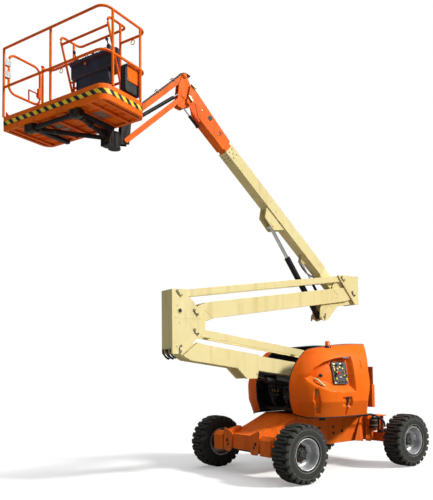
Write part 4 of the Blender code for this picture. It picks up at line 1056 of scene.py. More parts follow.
TAPE_LOW, TAPE_HIGH, TAPE_PERIOD, TAPE_LEAN = 0.022, 0.086, 0.134, 0.062
tape_inner, tape_outer, block_outer = along_edge(0.0), along_edge(0.0012), along_edge(0.0022)
tape_length = tape_inner[1][-1]
shape = bmesh.new()
stops = [tape_length * k / 480 for k in range(481)]
skin(shape, [[platform_at(*edge_place(run, s), z) for run, z in ((tape_inner, TAPE_LOW),
                                                                 (tape_outer, TAPE_LOW),
                                                                 (tape_outer, TAPE_HIGH),
                                                                 (tape_inner, TAPE_HIGH))]
             for s in stops])
finished("hazard_tape_black", shape, black_vinyl, "platform")
shape = bmesh.new()
count = int(tape_length / TAPE_PERIOD)
# each leaning edge has seven levels, so that it bends round the pan's corners over the black
tape_levels = [TAPE_LOW + 0.002 + (TAPE_HIGH - TAPE_LOW - 0.004) * level / 6 for level in range(7)]
for k in range(count):
    start = 0.03 + k * tape_length / count
    rings = []
    for step in range(11):
        ring = []
        for run, z in [(tape_inner, tape_levels[0])] + [(block_outer, z) for z in tape_levels] \
                + [(tape_inner, tape_levels[-1])]:
            lean = TAPE_LEAN * (TAPE_HIGH - z) / (TAPE_HIGH - TAPE_LOW)
            ring.append(platform_at(*edge_place(run, (start + lean + 0.067 * step / 10) % tape_length), z))
        rings.append(ring)
    if all((a[0] - b[0]).length < 0.1 for a, b in zip(rings, rings[1:])):
        skin(shape, rings)
finished("hazard_tape_yellow", shape, yellow_vinyl, "platform")
print("tape blocks:", count)

# %% [markdown]
# ## Tread plate
# Rolled lozenges stand up from the floor in two directions, 50 mm apart.

# %% Tread lozenges
def lozenge_tree():
    """A block that narrows towards its top on each point of a cloud."""
    tree = bpy.data.node_groups.new("lozenges", "GeometryNodeTree")
    tree.interface.new_socket("Geometry", in_out="INPUT", socket_type="NodeSocketGeometry")
    for label in ("Length", "Width", "Height"):
        tree.interface.new_socket(label, in_out="INPUT", socket_type="NodeSocketFloat")
    tree.interface.new_socket("Finish", in_out="INPUT", socket_type="NodeSocketMaterial")
    tree.interface.new_socket("Geometry", in_out="OUTPUT", socket_type="NodeSocketGeometry")
    given = add(tree, "NodeGroupInput")
    size = add(tree, "ShaderNodeCombineXYZ", {0: given.outputs["Length"], 1: given.outputs["Width"],
                                              2: given.outputs["Height"]})
    cube = add(tree, "GeometryNodeMeshCube", {"Size": size.outputs[0]})
    where = add(tree, "GeometryNodeInputPosition")
    parts = add(tree, "ShaderNodeSeparateXYZ", {0: where.outputs[0]})
    share = add(tree, "ShaderNodeMath", {0: parts.outputs[2], 1: given.outputs["Height"]},
                operation="DIVIDE")
    narrow = add(tree, "ShaderNodeMath", {0: 0.5, 1: share.outputs[0]}, operation="SUBTRACT")
    factor = add(tree, "ShaderNodeMath", {0: narrow.outputs[0], 1: 0.45, 2: 0.55}, operation="MULTIPLY_ADD")
    squeeze = add(tree, "ShaderNodeCombineXYZ", {0: factor.outputs[0], 1: factor.outputs[0], 2: 1.0})
    tapered = add(tree, "ShaderNodeVectorMath", {0: where.outputs[0], 1: squeeze.outputs[0]},
                  operation="MULTIPLY")
    lozenge = add(tree, "GeometryNodeSetPosition", {"Geometry": cube.outputs["Mesh"],
                                                    "Position": tapered.outputs[0]})
    facing = add(tree, "GeometryNodeInputNamedAttribute", {"Name": "facing"}, data_type="FLOAT_VECTOR")
    turn = add(tree, "FunctionNodeAlignRotationToVector", {"Vector": facing.outputs[0]}, axis="X",
               pivot_axis="Z")
    laid = add(tree, "GeometryNodeInstanceOnPoints", {"Points": given.outputs["Geometry"],
                                                      "Instance": lozenge.outputs[0],
                                                      "Rotation": turn.outputs[0]})
    solid = add(tree, "GeometryNodeRealizeInstances", {0: laid.outputs[0]})
    painted = add(tree, "GeometryNodeSetMaterial", {0: solid.outputs[0],
                                                    "Material": given.outputs["Finish"]})
    add(tree, "NodeGroupOutput", {0: painted.outputs[0]})
    return tree


def strewn(name, places, body, length, width, height, finish):
    """places is a list of (point, direction of the long side)."""
    return grown(name, cloud_of(name, places), LOZENGE_TREE,
                 {"Length": length, "Width": width, "Height": height, "Finish": finish}, body)


LOZENGE_TREE = lozenge_tree()
lozenge_places = []
for row in range(14):
    for column in range(35):
        a, b = 0.06 + 0.05 * column, 0.055 + 0.05 * row
        if min(a, PAN_LENGTH - a) > 0.05 and min(b, PAN_DEPTH - b) > 0.05:
            lean = ALONG if (row + column) % 2 else DEEP
            lozenge_places.append((platform_at(a, b, -0.0135), lean))
strewn("tread_lozenges", lozenge_places, "platform", 0.036, 0.010, 0.004, orange_enamel)
print("lozenges:", len(lozenge_places))

# %% [markdown]
# ## Operator's console
# A moulded navy housing with a hooded top edge over a plain skirt, a sloping panel of switches, two
# joysticks with rubber bellows and a stop button. The housing is one profile swept along its length, as a
# two-part mould makes it.

# %% Console
CONSOLE_PROFILE = [(0.655, 0.775), (0.665, 0.762), (0.826, 0.762), (0.830, 0.770), (0.830, 1.005),
                   (0.815, 1.040), (0.785, 1.050), (0.735, 1.048), (0.655, 1.010), (0.628, 0.992),
                   (0.620, 0.972), (0.622, 0.955), (0.634, 0.945), (0.652, 0.940)]


def console_ring(a, grow):
    """The housing's outline at a place along it, grown or shrunk about its middle."""
    middle_b, middle_z = 0.735, 0.90
    return [platform_at(a, middle_b + (b - middle_b) * grow, middle_z + (z - middle_z) * grow)
            for b, z in CONSOLE_PROFILE]


shape = bmesh.new()
skin(shape, [console_ring(a, grow) for a, grow in ((0.560, 0.93), (0.563, 0.97), (0.575, 1.0), (1.315, 1.0),
                                                   (1.327, 0.97), (1.330, 0.93))])
platform_block(shape, 0.648, 1.252, 0.675, 0.732, 0.33, 0.77)
platform_block(shape, 0.640, 1.260, 0.670, 0.735, 0.32, 0.345)
platform_block(shape, 0.640, 1.260, 0.668, 0.735, 0.745, 0.765)
for a in (0.652, 1.228):
    platform_block(shape, a, a + 0.020, 0.668, 0.690, 0.34, 0.76)
finished("console_housing", shape, navy_plastic, "platform", 0.005,
         stands_for=("control_console",))
PANEL_TILT = UPWARD * 0.905 - DEEP * 0.425
shape = bmesh.new()
for a0, a1 in ((0.60, 0.93), (0.96, 1.29)):
    corners = [platform_at(a, b, z) for a, b, z in ((a0, 0.662, 1.0145), (a1, 0.662, 1.0145),
                                                    (a1, 0.732, 1.048), (a0, 0.732, 1.048))]
    skin(shape, [corners, [point + PANEL_TILT * 0.004 for point in corners]])
for a in (0.64, 1.25):
    stick = platform_at(a, 0.690, 1.030)
    spun(shape, [(0.0, 0.036), (0.010, 0.036), (0.016, 0.030), (0.022, 0.033), (0.028, 0.026),
                 (0.034, 0.029), (0.040, 0.020), (0.046, 0.022), (0.052, 0.009), (0.090, 0.008),
                 (0.094, 0.018), (0.118, 0.022), (0.130, 0.015)], stick, PANEL_TILT, 20)
finished("console_panel_and_sticks", shape, black_plastic, "platform", 0.001)
shape = bmesh.new()
for a, b, z in ((0.78, 0.680, 1.024), (0.82, 0.680, 1.024), (0.86, 0.680, 1.024), (1.02, 0.680, 1.024),
                (1.06, 0.680, 1.024), (1.10, 0.680, 1.024), (0.80, 0.712, 1.040), (0.84, 0.712, 1.040)):
    spun(shape, [(0.0, 0.008), (0.006, 0.008), (0.006, 0.004), (0.024, 0.003)], platform_at(a, b, z),
         PANEL_TILT, 12)
finished("console_toggle_switches", shape, chrome_plate, "platform")
shape = bmesh.new()
spun(shape, [(0.0, 0.014), (0.012, 0.014), (0.012, 0.024), (0.022, 0.024), (0.026, 0.018)],
     platform_at(0.945, 0.694, 1.033), PANEL_TILT, 20)
finished("console_stop_button", shape, red_plastic, "platform")
shape = bmesh.new()
for a0, a1, b0 in ((0.75, 0.89, 0.697), (0.99, 1.13, 0.697), (0.75, 0.89, 0.722), (0.99, 1.13, 0.722)):
    z = 1.0145 + (b0 - 0.662) * 0.4786
    corners = [platform_at(a0, b0 - 0.004, z - 0.002), platform_at(a1, b0 - 0.004, z - 0.002),
               platform_at(a1, b0 + 0.004, z + 0.002), platform_at(a0, b0 + 0.004, z + 0.002)]
    skin(shape, [[point + PANEL_TILT * 0.004 for point in corners],
                 [point + PANEL_TILT * 0.0052 for point in corners]])
finished("console_label_strips", shape, white_vinyl, "platform")
shape = bmesh.new()
spun(shape, [(0.0, 0.020), (0.006, 0.020), (0.008, 0.016)], platform_at(0.87, 0.622, 0.895), -DEEP, 16)
platform_block(shape, 0.470, 0.640, 0.735, 0.765, 0.780, 0.800)
finished("console_bracket_and_plug", shape, orange_enamel, "platform", 0.002)
shape = bmesh.new()
platform_block(shape, 1.19, 1.29, 0.775, 0.825, 1.048, 1.058)
spun(shape, [(0.0, 0.050), (0.040, 0.050), (0.060, 0.044), (0.075, 0.028), (0.080, 0.0)],
     platform_at(1.10, 0.785, 1.045), UPWARD, 24)
finished("console_lid_and_horn_dome", shape, galvanised, "platform", 0.002)
print("console done, pieces:", len(made_pieces))

# %% [markdown]
# ## Platform fittings
# The manual and lead box on the far end rail, the gate's strap hinges and latch, lanyard rings, the foot
# gussets and the electric cable that comes up the console's frame. Small steel pieces are plain plates with
# rounded edges; the cable is a curve through its clips.

# %% Side box, gate fittings and cable
TRAY_EDGE = [(0.41, 0.24), (0.43, 0.20), (0.66, 0.20), (0.68, 0.24), (0.68, 0.53), (0.65, 0.56),
             (0.44, 0.56), (0.41, 0.53)]


def end_plate(shape, outline, a0, a1):
    """A plate square to the platform's length: outline of (b, z) points."""
    skin(shape, [[platform_at(a, b, z) for b, z in outline] for a in (a0, a1)])


shape = bmesh.new()
end_plate(shape, TRAY_EDGE, 1.705, 1.795)
finished("side_box_tray", shape, black_plastic, "platform", 0.008, stands_for=("side_box",))
shape = bmesh.new()
tube(shape, rounded_route([platform_at(1.700, b, z) for b, z in ((0.425, 0.215), (0.665, 0.215),
                                                                 (0.665, 0.545), (0.425, 0.545))], 0.02,
                          4, closed=True), 0.004, 8, closed=True)
finished("side_box_gasket", shape, galvanised, "platform")
shape = bmesh.new()
end_plate(shape, [(0.435, 0.350), (0.445, 0.340), (0.668, 0.340), (0.672, 0.540), (0.660, 0.552),
                  (0.447, 0.552), (0.435, 0.540)], 1.796, 1.802)
platform_block(shape, -0.008, 0.052, 0.004, 0.060, 0.142, 0.150)
for a, b, side, other in ((0.03, 0.012, ALONG, DEEP), (0.012, 0.03, DEEP, ALONG)):
    foot, across = platform_at(a, b, 0.143), other * 0.005
    skin(shape, [[foot + across * s, foot + side * 0.08 + across * s,
                  foot + Vector((0, 0, 0.08)) + across * s] for s in (0, 1)])
finished("side_box_panel_and_gussets", shape, orange_enamel, "platform", 0.002)
bolts("side_box_bolts", [(platform_at(1.802, b, z), ALONG) for b, z in ((0.46, 0.525), (0.645, 0.525),
                                                                        (0.645, 0.365), (0.46, 0.365))],
      "platform", 0.016, 0.008, 0.024)
shape = bmesh.new()
for z in (0.745, 0.910):
    for face in (-0.024, 0.016):
        end_plate(shape, [(0.000, z - 0.048), (0.095, z - 0.040), (0.100, z + 0.040), (0.000, z + 0.048)],
                  face, face + 0.005)
    spun(shape, [(0.0, 0.012), (0.060, 0.012)], platform_at(-0.014, 0.018, z - 0.03), UPWARD, 12)
finished("gate_strap_hinges", shape, galvanised, "gate", 0.001)
shape = bmesh.new()
tube(shape, rounded_route([platform_at(-0.020, b, z) for b, z in ((0.422, 0.520), (0.417, 0.690),
                                                                  (0.556, 0.690), (0.560, 0.640))], 0.012,
                          4), 0.010, 10)
finished("gate_lift_handle", shape, red_plastic, "gate")
bolts("gate_rivets", [(platform_at(-0.021, b, z), -ALONG) for b, z in ((0.575, 0.65), (0.575, 0.73),
                                                                       (0.04, 0.745), (0.08, 0.745),
                                                                       (0.04, 0.910), (0.08, 0.910))],
      "gate", 0.012, 0.005, 0.016)
shape = bmesh.new()
spun(shape, [(0.0, 0.020), (0.004, 0.024), (0.016, 0.024), (0.022, 0.014)], platform_at(0.0, 0.64, 1.099),
     UPWARD, 16)
finished("post_caps", shape, orange_enamel, "platform")
shape = bmesh.new()
for a, b, z in ((0.25, 0.76, 1.06), (1.60, 0.76, 1.06)):
    ring = [platform_at(a + 0.030 * math.cos(t * math.tau / 20), b,
                        z - 0.030 + 0.030 * math.sin(t * math.tau / 20)) for t in range(20)]
    tube(shape, ring, 0.006, 8, closed=True)
finished("lanyard_rings", shape, yellow_vinyl, "platform")
shape = bmesh.new()
for side in (0.0, 0.022, 0.044):
    tube(shape, smooth_route([platform_at(0.66 + side, 0.72, 0.33), platform_at(0.60 + side, 0.735, 0.22),
                              platform_at(0.53 + side, 0.740, 0.10),
                              platform_at(0.55 + side, 0.735, -0.005)], 6), 0.009, 10)
tube(shape, smooth_route([platform_at(1.33, 0.80, 0.80), platform_at(1.42, 0.79, 0.70),
                          platform_at(1.44, 0.77, 0.40), platform_at(1.42, 0.765, 0.15)], 8), 0.008, 10)
finished("console_cables", shape, hose_rubber, "platform")
print("platform done, pieces:", len(made_pieces))

# %% [markdown]
# ## Pins and keeper bars
# Every arm turns on a steel pin. The pin's end stands a little proud of the plate and a flat bar, bolted at
# one end, keeps it from turning. The pins and bars are cut from bright steel; the bolt heads come from
# the bolt tree, one cloud of points for each body.

# %% Pins, bars and bushes
def keeper(shape, x, z, face_y, lean, length=0.115, radius=0.025):
    """A pin's end with its bar over it. The bar leans by an angle from level. Returns the bolt's place."""
    out = -1 if face_y < 0 else 1
    spun(shape, [(0.0, radius + 0.006), (0.004, radius + 0.006), (0.005, radius), (0.012, radius),
                 (0.015, radius * 0.8)], (x, face_y, z), (0, out, 0), 20)
    run, across = Vector((math.cos(lean), math.sin(lean))), Vector((-math.sin(lean), math.cos(lean)))
    outline = []
    for end, start_angle in ((1, -90), (-1, 90)):
        for k in range(7):
            angle = math.radians(start_angle + 180 * k / 6)
            point = Vector((x, z)) + run * (end * (length / 2 - 0.012)) + 0.014 * (
                run * math.cos(angle) + across * math.sin(angle))
            outline.append((point.x, point.y))
    plate(shape, outline, face_y + out * 0.010, face_y + out * 0.018)
    place = Vector((x, z)) + run * (length / 2 - 0.014)
    return ((place.x, face_y + out * 0.018, place.y), (0, out, 0))


# half the width over the uprights' cheeks and over the arms' sides
CHEEK_FACE, ARM_FACE = 0.145, 0.1245
ARM_END_PIN = (-2.592, 1.906)
# place of each pin as x and height, the face it stands on, and the lean of its bar
PIN_SETS = {
    "tower_upright": [(-2.609, 2.692, CHEEK_FACE, -40), (-2.335, 2.434, CHEEK_FACE, -48),
                      (-2.332, 2.156, CHEEK_FACE, -48), (*ARM_END_PIN, CHEEK_FACE, 85)],
    "boom_upright": [(0.706, 3.153, CHEEK_FACE, -40), (0.966, 2.908, CHEEK_FACE, -48),
                     (0.241, 2.471, CHEEK_FACE, 80)],
    "lower_arm": [(-1.271, 1.506, 0.124, 35)],
}
for body, pins in PIN_SETS.items():
    shape, heads = bmesh.new(), []
    for x, z, half, lean in pins:
        for out in (-1, 1):
            heads.append(keeper(shape, x, z, out * half, math.radians(lean)))
    finished(body + "_pins", shape, zinc_bolts, body, 0.001)
    bolts(body + "_keeper_bolts", heads, body, 0.019, 0.009, 0.026)
print("pins:", {body: len(pins) for body, pins in PIN_SETS.items()})

# %% [markdown]
# ## Bushes, screws and weld beads on the arms
# Small marks of how the arms are made: an empty bush, cover screws, and the beads where plates are spliced.
# A bead is a thin tube half sunk in the plate, which takes the light as a real bead does.

# %% Bushes, screws and welds
EMPTY_BUSH = (-2.598, 2.440)
shape = bmesh.new()
for out in (-1, 1):
    spun(shape, [(-0.001, 0.030), (-0.001, 0.040), (0.004, 0.040), (0.005, 0.037), (0.005, 0.031)],
         (EMPTY_BUSH[0], out * CHEEK_FACE, EMPTY_BUSH[1]), (0, out, 0), 28, looped=True)
    weld = [(-2.690, out * CHEEK_FACE, 2.342), (-2.420, out * CHEEK_FACE, 2.340),
            (-2.176, out * CHEEK_FACE, 2.338)]
    tube(shape, weld, 0.003, 6)
finished("upright_bush_and_weld", shape, cream_enamel, "tower_upright")
# a dark disc inside the empty bush: painted shade of its bore
shape = bmesh.new()
for out in (-1, 1):
    spun(shape, [(-0.002, 0.031), (0.0012, 0.031)], (EMPTY_BUSH[0], out * CHEEK_FACE, EMPTY_BUSH[1]),
         (0, out, 0), 28)
finished("upright_bush_dark", shape, dark_iron, "tower_upright")
small_screws = [((x, out * CHEEK_FACE, z), (0, out, 0)) for out in (-1, 1)
                for x, z in ((-2.642, 2.510), (-2.609, 2.271), (-2.653, 1.941))]
bolts("upright_screws", small_screws, "tower_upright", 0.011, 0.005, 0.014)
shape = bmesh.new()
for out in (-1, 1):
    for chevron in (((-2.045, 2.598), (-2.153, 2.469), (-2.026, 2.361)),
                    ((0.476, 2.950), (0.606, 2.860), (0.531, 2.747))):
        tube(shape, [(x, out * ARM_FACE, z) for x, z in chevron], 0.003, 6)
finished("upper_arm_splice_welds", shape, cream_enamel, "upper_arm")
shape = bmesh.new()
for out in (-1, 1):
    tube(shape, [(-1.202, out * ARM_FACE, 1.812), (-1.206, out * ARM_FACE, 1.600)], 0.003, 6)
finished("lower_arm_seam", shape, cream_enamel, "lower_arm")
print("screws on the cheeks:", len(small_screws))

# %% [markdown]
# ## Hoses along the arms
# Hydraulic hose runs inside the arms and comes out in loops where they fold. Each hose is a round section
# carried along a smooth curve.

# %% Arm hoses
LOOP_RADIUS = 0.136
shape = bmesh.new()
for k in range(4):
    y = -0.09 + 0.06 * k
    # the loop keeps outside the circle that the arm's end sweeps round its pin
    reach = LOOP_RADIUS + 0.012 * (k % 2)
    loop = [math.radians(180 + 14 * step) for step in range(6)]
    tube(shape, smooth_route([(ARM_END_PIN[0] + reach * math.cos(angle), y,
                               ARM_END_PIN[1] + reach * math.sin(angle)) for angle in loop], 6), 0.014, 12)
finished("upright_hose_loops", shape, hose_rubber, "tower_upright")
shape = bmesh.new()
for k in range(3):
    y = 0.106 + 0.013 * k
    tube(shape, smooth_route([(0.420, y, 3.120), (0.300, y, 3.165), (0.160, y, 3.200),
                              (0.030, y, 3.290), (-0.080, y, 3.420)], 6), 0.007, 10)
finished("boom_foot_hoses", shape, hose_rubber, "boom_upright")
print("arm hoses done, pieces:", len(made_pieces))

# %% [markdown]
# ## Chassis plates and bolts
# Flame-cut gussets, the motor end plates on the drive end, flange bolts and the hose arch beside the steer
# axle. The plates are outlines given a thickness, as they are cut; the round holes are rings over a dark disc
# and the slot is a dark sheet, both painted shade of the hollow behind, because nothing is seen through them.

# %% Chassis trim
GUSSETS = [[(0.781, 0.821), (0.548, 0.407), (0.750, 0.385)],
           [(0.927, 0.773), (0.893, 0.790), (0.817, 0.385), (0.942, 0.365)]]
shape = bmesh.new()
for out in (-1, 1):
    for outline in GUSSETS:
        # the foot stands out from the side, so the plate faces a little upwards
        skin(shape, [[(x, out * (0.402 + lift + 0.16 * (0.82 - z)), z) for x, z in outline]
                     for lift in (0.0, 0.010)])
    tube(shape, rounded_route([(x, out * 0.600, z) for x, z in ((1.032, 0.560), (1.032, 0.733),
                                                                (1.122, 0.733), (1.122, 0.560))], 0.035,
                              6), 0.011, 10)
finished("chassis_gussets", shape, orange_enamel, "chassis", 0.003)
flange_bolts = [((x, out * 0.400, z), (0, out, 0)) for out in (-1, 1)
                for x, z in ((-0.185, 0.659), (0.127, 0.659), (0.128, 0.556), (-0.185, 0.556))]
bolts("chassis_flange_bolts", flange_bolts, "chassis", 0.030, 0.016, 0.046, olive_zinc)
# a dark sheet for the slot and a dark disc for the hole: painted shade of the openings
shape = bmesh.new()
for out in (-1, 1):
    plate(shape, [(-0.190, 0.806), (-0.180, 0.812), (-0.056, 0.812), (-0.046, 0.806), (-0.046, 0.781),
                  (-0.056, 0.775), (-0.180, 0.775), (-0.190, 0.781)], out * 0.398, out * 0.4015)
    spun(shape, [(-0.002, 0.028), (0.0015, 0.028)], (0.332, out * 0.400, 0.576), (0, out, 0), 24)
    tube(shape, [(0.02, out * 0.30, 0.385), (0.14, out * 0.30, 0.330)], 0.030, 12)
finished("chassis_slots", shape, dark_iron, "chassis")
shape = bmesh.new()
for out in (-1, 1):
    tube(shape, smooth_route([(0.560, out * 0.520, 0.800), (0.648, out * 0.600, 0.826),
                              (0.800, out * 0.600, 0.832), (0.926, out * 0.600, 0.803),
                              (1.050, out * 0.605, 0.748), (1.133, out * 0.610, 0.682),
                              (1.150, out * 0.610, 0.600)], 6), 0.015, 12)
    for k in range(2):
        start = 0.88 + 0.05 * k
        tube(shape, smooth_route([(start, out * 0.600, 0.765), (start + 0.02, out * 0.585, 0.800),
                                  (start - 0.02, out * 0.520, 0.815), (start - 0.08, out * 0.44, 0.79)],
                                 6), 0.009, 10)
finished("steer_axle_hoses", shape, hose_rubber, "chassis")
shape = bmesh.new()
for out in (-1, 1):
    for x, z in ((0.940, 0.790), (0.985, 0.790), (1.045, 0.660)):
        spun(shape, [(0.0, 0.011), (0.012, 0.011), (0.013, 0.008), (0.024, 0.008)],
             (x, out * 0.540, z - 0.008), UPWARD, 6)
finished("steer_axle_fittings", shape, brass_fittings, "chassis")


def across_plate(shape, outline, x0, x1):
    """A plate square to the machine's length: outline of (y, z) points."""
    skin(shape, [[(x, y, z) for y, z in outline] for x in (x0, x1)])


def end_face(z):
    """The drive end's plates lean out a little towards their feet."""
    return -1.440 - 0.07 * (0.70 - z)


END_PLATE = [(0.218, 0.598), (0.228, 0.628), (0.275, 0.650), (0.400, 0.698), (0.428, 0.700), (0.440, 0.680),
             (0.440, 0.530), (0.418, 0.372), (0.398, 0.350), (0.275, 0.345), (0.240, 0.370)]
shape = bmesh.new()
for out in (-1, 1):
    skin(shape, [[(end_face(z) + back, out * y, z) for y, z in END_PLATE] for back in (0.0, 0.016)])
    plate(shape, [(-1.462, 0.350), (-1.462, 0.575), (-1.400, 0.636), (-1.350, 0.640), (-1.350, 0.350)],
          out * 0.462, out * 0.690)
across_plate(shape, [(0.205, 0.395), (0.205, 0.595), (-0.205, 0.595), (-0.205, 0.395)], -1.436, -1.428)
finished("drive_end_plates", shape, orange_enamel, "chassis", 0.006)
# dark discs in the end plates' holes: painted shade of the hollow behind
shape = bmesh.new()
for out in (-1, 1):
    for y, z, radius in ((0.352, 0.507, 0.029), (0.322, 0.452, 0.023)):
        spun(shape, [(-0.004, radius), (0.0020, radius)], (end_face(z), out * y, z), (-1, 0, 0), 24)
finished("drive_end_holes", shape, dark_iron, "chassis")
bolts("drive_end_bolts", [((end_face(z), out * y, z), (-1, 0, 0)) for out in (-1, 1)
                          for y, z in ((0.255, 0.600), (0.412, 0.655), (0.280, 0.380), (0.398, 0.385))],
      "chassis", 0.018, 0.009, 0.026)
shape = bmesh.new()
for out in (-1, 1):
    spun(shape, [(0.0, 0.052), (0.006, 0.060), (0.150, 0.060), (0.160, 0.050), (0.168, 0.046),
                 (0.172, 0.020)], (0.970, out * 0.530, 0.602), UPWARD, 28)
    block(shape, 0.905, 1.035, *sorted((out * 0.470, out * 0.590)), 0.588, 0.604)
finished("accumulator_canisters", shape, black_enamel, "chassis", 0.002)
shape = bmesh.new()
for out in (-1, 1):
    for z in (0.640, 0.725):
        spun(shape, [(-0.008, 0.0605), (-0.008, 0.0625), (0.008, 0.0625), (0.008, 0.0605)],
             (0.970, out * 0.530, z), UPWARD, 28, looped=True)
finished("canister_clamps", shape, galvanised, "chassis")
print("chassis trim done, pieces:", len(made_pieces))

# %% [markdown]
# ## Machinery between the hoods
# Valve block, hoses and brass unions show in the dark gap between the two hoods. They are simple turned and
# drilled shapes, and the hoses hang between them.

# %% Valves and hoses
shape = bmesh.new()
for x0, x1, y0, y1, z0, z1 in ((-0.66, -0.50, -0.30, -0.10, 1.12, 1.22),
                               (-0.60, -0.48, 0.14, 0.30, 1.10, 1.24)):
    block(shape, x0, x1, y0, y1, z0, z1)
finished("valve_blocks", shape, dark_iron, "turntable", 0.006)
shape = bmesh.new()
HOSE_ROWS = [(k, -0.28 + 0.068 * k, 1.215 if k < 3 else 1.235) for k in range(9) if k not in (3, 4, 5)]
for k, y, z in HOSE_ROWS:
    spun(shape, [(0.0, 0.013), (0.014, 0.013), (0.015, 0.009), (0.030, 0.009), (0.031, 0.012),
                 (0.042, 0.012)], (-0.580 - 0.02 * (k % 2), y, z), UPWARD, 6)
    spun(shape, [(0.0, 0.012), (0.016, 0.012), (0.017, 0.008), (0.030, 0.008)],
         (-0.655 + 0.04 * (k // 3), y, z - 0.05), (-1, 0, 0), 6)
finished("brass_unions", shape, brass_fittings, "turntable")
shape = bmesh.new()
for k, y, low in HOSE_ROWS:
    z, drop = low + 0.04, 0.03 * (k % 3)
    tube(shape, smooth_route([(-0.580 - 0.02 * (k % 2), y, z), (-0.600, y, z + 0.06),
                              (-0.680, y * 0.9, z + 0.03), (-0.700 + drop, y * 0.8, 1.10),
                              (-0.640 + drop, y * 0.7, 1.02), (-0.520, y * 0.6, 0.996)], 6), 0.011, 10)
finished("turntable_hoses", shape, hose_rubber, "turntable")
print("hoses on the valves:", len(HOSE_ROWS))

# %% [markdown]
# ## Beacon
# A warning light on the near hood: a black base and a ribbed amber dome, both turned on an upright axis.
# The ribs are real steps in the profile, because they show in the dome's outline.

# %% Beacon
shape = bmesh.new()
spun(shape, [(-0.030, 0.052), (-0.004, 0.050), (0.004, 0.046), (0.010, 0.044)], (-0.165, -0.600, 1.950),
     UPWARD, 28)
finished("beacon_base", shape, black_plastic, "hood_near")
shape = bmesh.new()
ribs = [(0.008, 0.040)]
for k in range(6):
    ribs += [(0.012 + 0.010 * k, 0.0405), (0.017 + 0.010 * k, 0.0385)]
spun(shape, ribs + [(0.074, 0.037), (0.081, 0.030), (0.085, 0.018)], (-0.165, -0.600, 1.950), UPWARD, 32)
finished("beacon_lens", shape, amber_plastic, "hood_near", stands_for=("beacon",))
print("beacon rings:", len(ribs))

# %% [markdown]
# ## Boom trim
# Wear-pad screws at the boom's mouth, flame-cut holes near the head, and the head's pins. They are laid out
# in the boom's own directions, along it and square to it, because the boom leans. The holes could be cut
# with Booleans; nothing is seen through them, so a dark disc in the face stands for each, painted shade of
# the inside.

# %% Boom frame of reference, wear-pad screws and holes
BOOM_FOOT, BOOM_RISE = Vector((0.62, 0.0, 2.95)), math.radians(41.3)
BOOM_RUN = Vector((-math.cos(BOOM_RISE), 0, math.sin(BOOM_RISE)))
BOOM_UP = Vector((math.sin(BOOM_RISE), 0, math.cos(BOOM_RISE)))


def boom_at(s, d, y):
    """A point in the boom's own directions: along it from its foot, square to it, and across."""
    return BOOM_FOOT + BOOM_RUN * s + BOOM_UP * d + Vector((0, y, 0))


screws = [(boom_at(s, d, out * 0.095), (0, out, 0)) for out in (-1, 1)
          for s, d in ((3.01, 0.035), (3.01, -0.045), (2.955, -0.005), (2.90, 0.035), (2.90, -0.045))]
screws += [(boom_at(s, -0.090, y), -BOOM_UP) for s in (2.90, 2.95, 3.00) for y in (-0.045, 0.045)]
screws += [(boom_at(s, 0.090, y), BOOM_UP) for s in (2.90, 3.00) for y in (-0.045, 0.045)]
bolts("wear_pad_screws", screws, "main_boom", 0.013, 0.005, 0.018, dark_iron)
bolts("boom_side_bushes", [(boom_at(s, d, out * 0.095), (0, out, 0)) for out in (-1, 1)
                           for s, d in ((1.98, 0.030), (1.80, -0.010), (1.20, 0.030), (0.60, 0.030))],
      "main_boom", 0.030, 0.004, 0.042, cream_enamel)


def hole_shade_sheet(shape, s, d, long, high, out, face=0.0835, corner=0.012):
    """Painted shade: a dark sheet for the inside of a hole with rounded corners, in the boom's own
    directions.
    """
    outline = []
    for centre_s, centre_d, start in ((long, high, 0), (-long, high, 90), (-long, -high, 180),
                                      (long, -high, 270)):
        for k in range(5):
            angle = math.radians(start + 22.5 * k)
            outline.append((s + centre_s - math.copysign(corner, centre_s) + corner * math.cos(angle),
                            d + centre_d - math.copysign(corner, centre_d) + corner * math.sin(angle)))
    skin(shape, [[boom_at(a, b, out * depth) for a, b in outline] for depth in (face - 0.002, face)])


shape = bmesh.new()
for out in (-1, 1):
    hole_shade_sheet(shape, 3.560, 0.075, 0.034, 0.034, out)
    hole_shade_sheet(shape, 3.300, 0.060, 0.028, 0.011, out, 0.0828, 0.008)
    hole_shade_sheet(shape, 3.285, 0.020, 0.011, 0.011, out, 0.0828, 0.008)
finished("fly_boom_openings", shape, dark_iron, "fly_boom")
shape, heads = bmesh.new(), []
for out in (-1, 1):
    heads.append(keeper(shape, -2.290, 5.760, out * 0.083, math.radians(-35), 0.095, 0.020))
    heads.append(keeper(shape, -2.352, 5.560, out * 0.083, math.radians(-50), 0.095, 0.020))
finished("head_pins", shape, zinc_bolts, "fly_boom", 0.001)
heads += [((-2.150, out * 0.080, 5.440), (0, out, 0)) for out in (-1, 1)]
bolts("head_keeper_bolts", heads, "fly_boom", 0.017, 0.008, 0.023)
print("wear-pad screws:", len(screws))

# %% [markdown]
# ## Jib hoses
# Three hoses and a pale cable lie along the jib's top under bent wire clips. They are curves in the jib's
# own directions, so one function draws each of them at its own height.

# %% Jib hoses and end caps
JIB_FOOT, JIB_FALL = Vector((-2.426, 0.0, 5.894)), math.radians(-43.1)
JIB_RUN = Vector((-math.cos(JIB_FALL), 0, math.sin(JIB_FALL)))
JIB_UP = Vector((math.sin(JIB_FALL), 0, math.cos(JIB_FALL)))


def jib_at(s, d, y):
    """A point in the jib's own directions: along it from its foot, square to it, and across."""
    return JIB_FOOT + JIB_RUN * s + JIB_UP * d + Vector((0, y, 0))


def jib_hose(shape, y, lift, radius):
    """A hose that comes over the jib's foot and lies along its top."""
    tube(shape, smooth_route([jib_at(-0.10, -0.05, y), jib_at(-0.055, 0.020, y),
                              jib_at(0.010, 0.048 + lift, y), jib_at(0.12, 0.046 + lift, y),
                              jib_at(0.45, 0.044 + lift, y), jib_at(0.80, 0.044 + lift, y),
                              jib_at(1.08, 0.046 + lift, y), jib_at(1.19, 0.030, y)], 6), radius, 10)


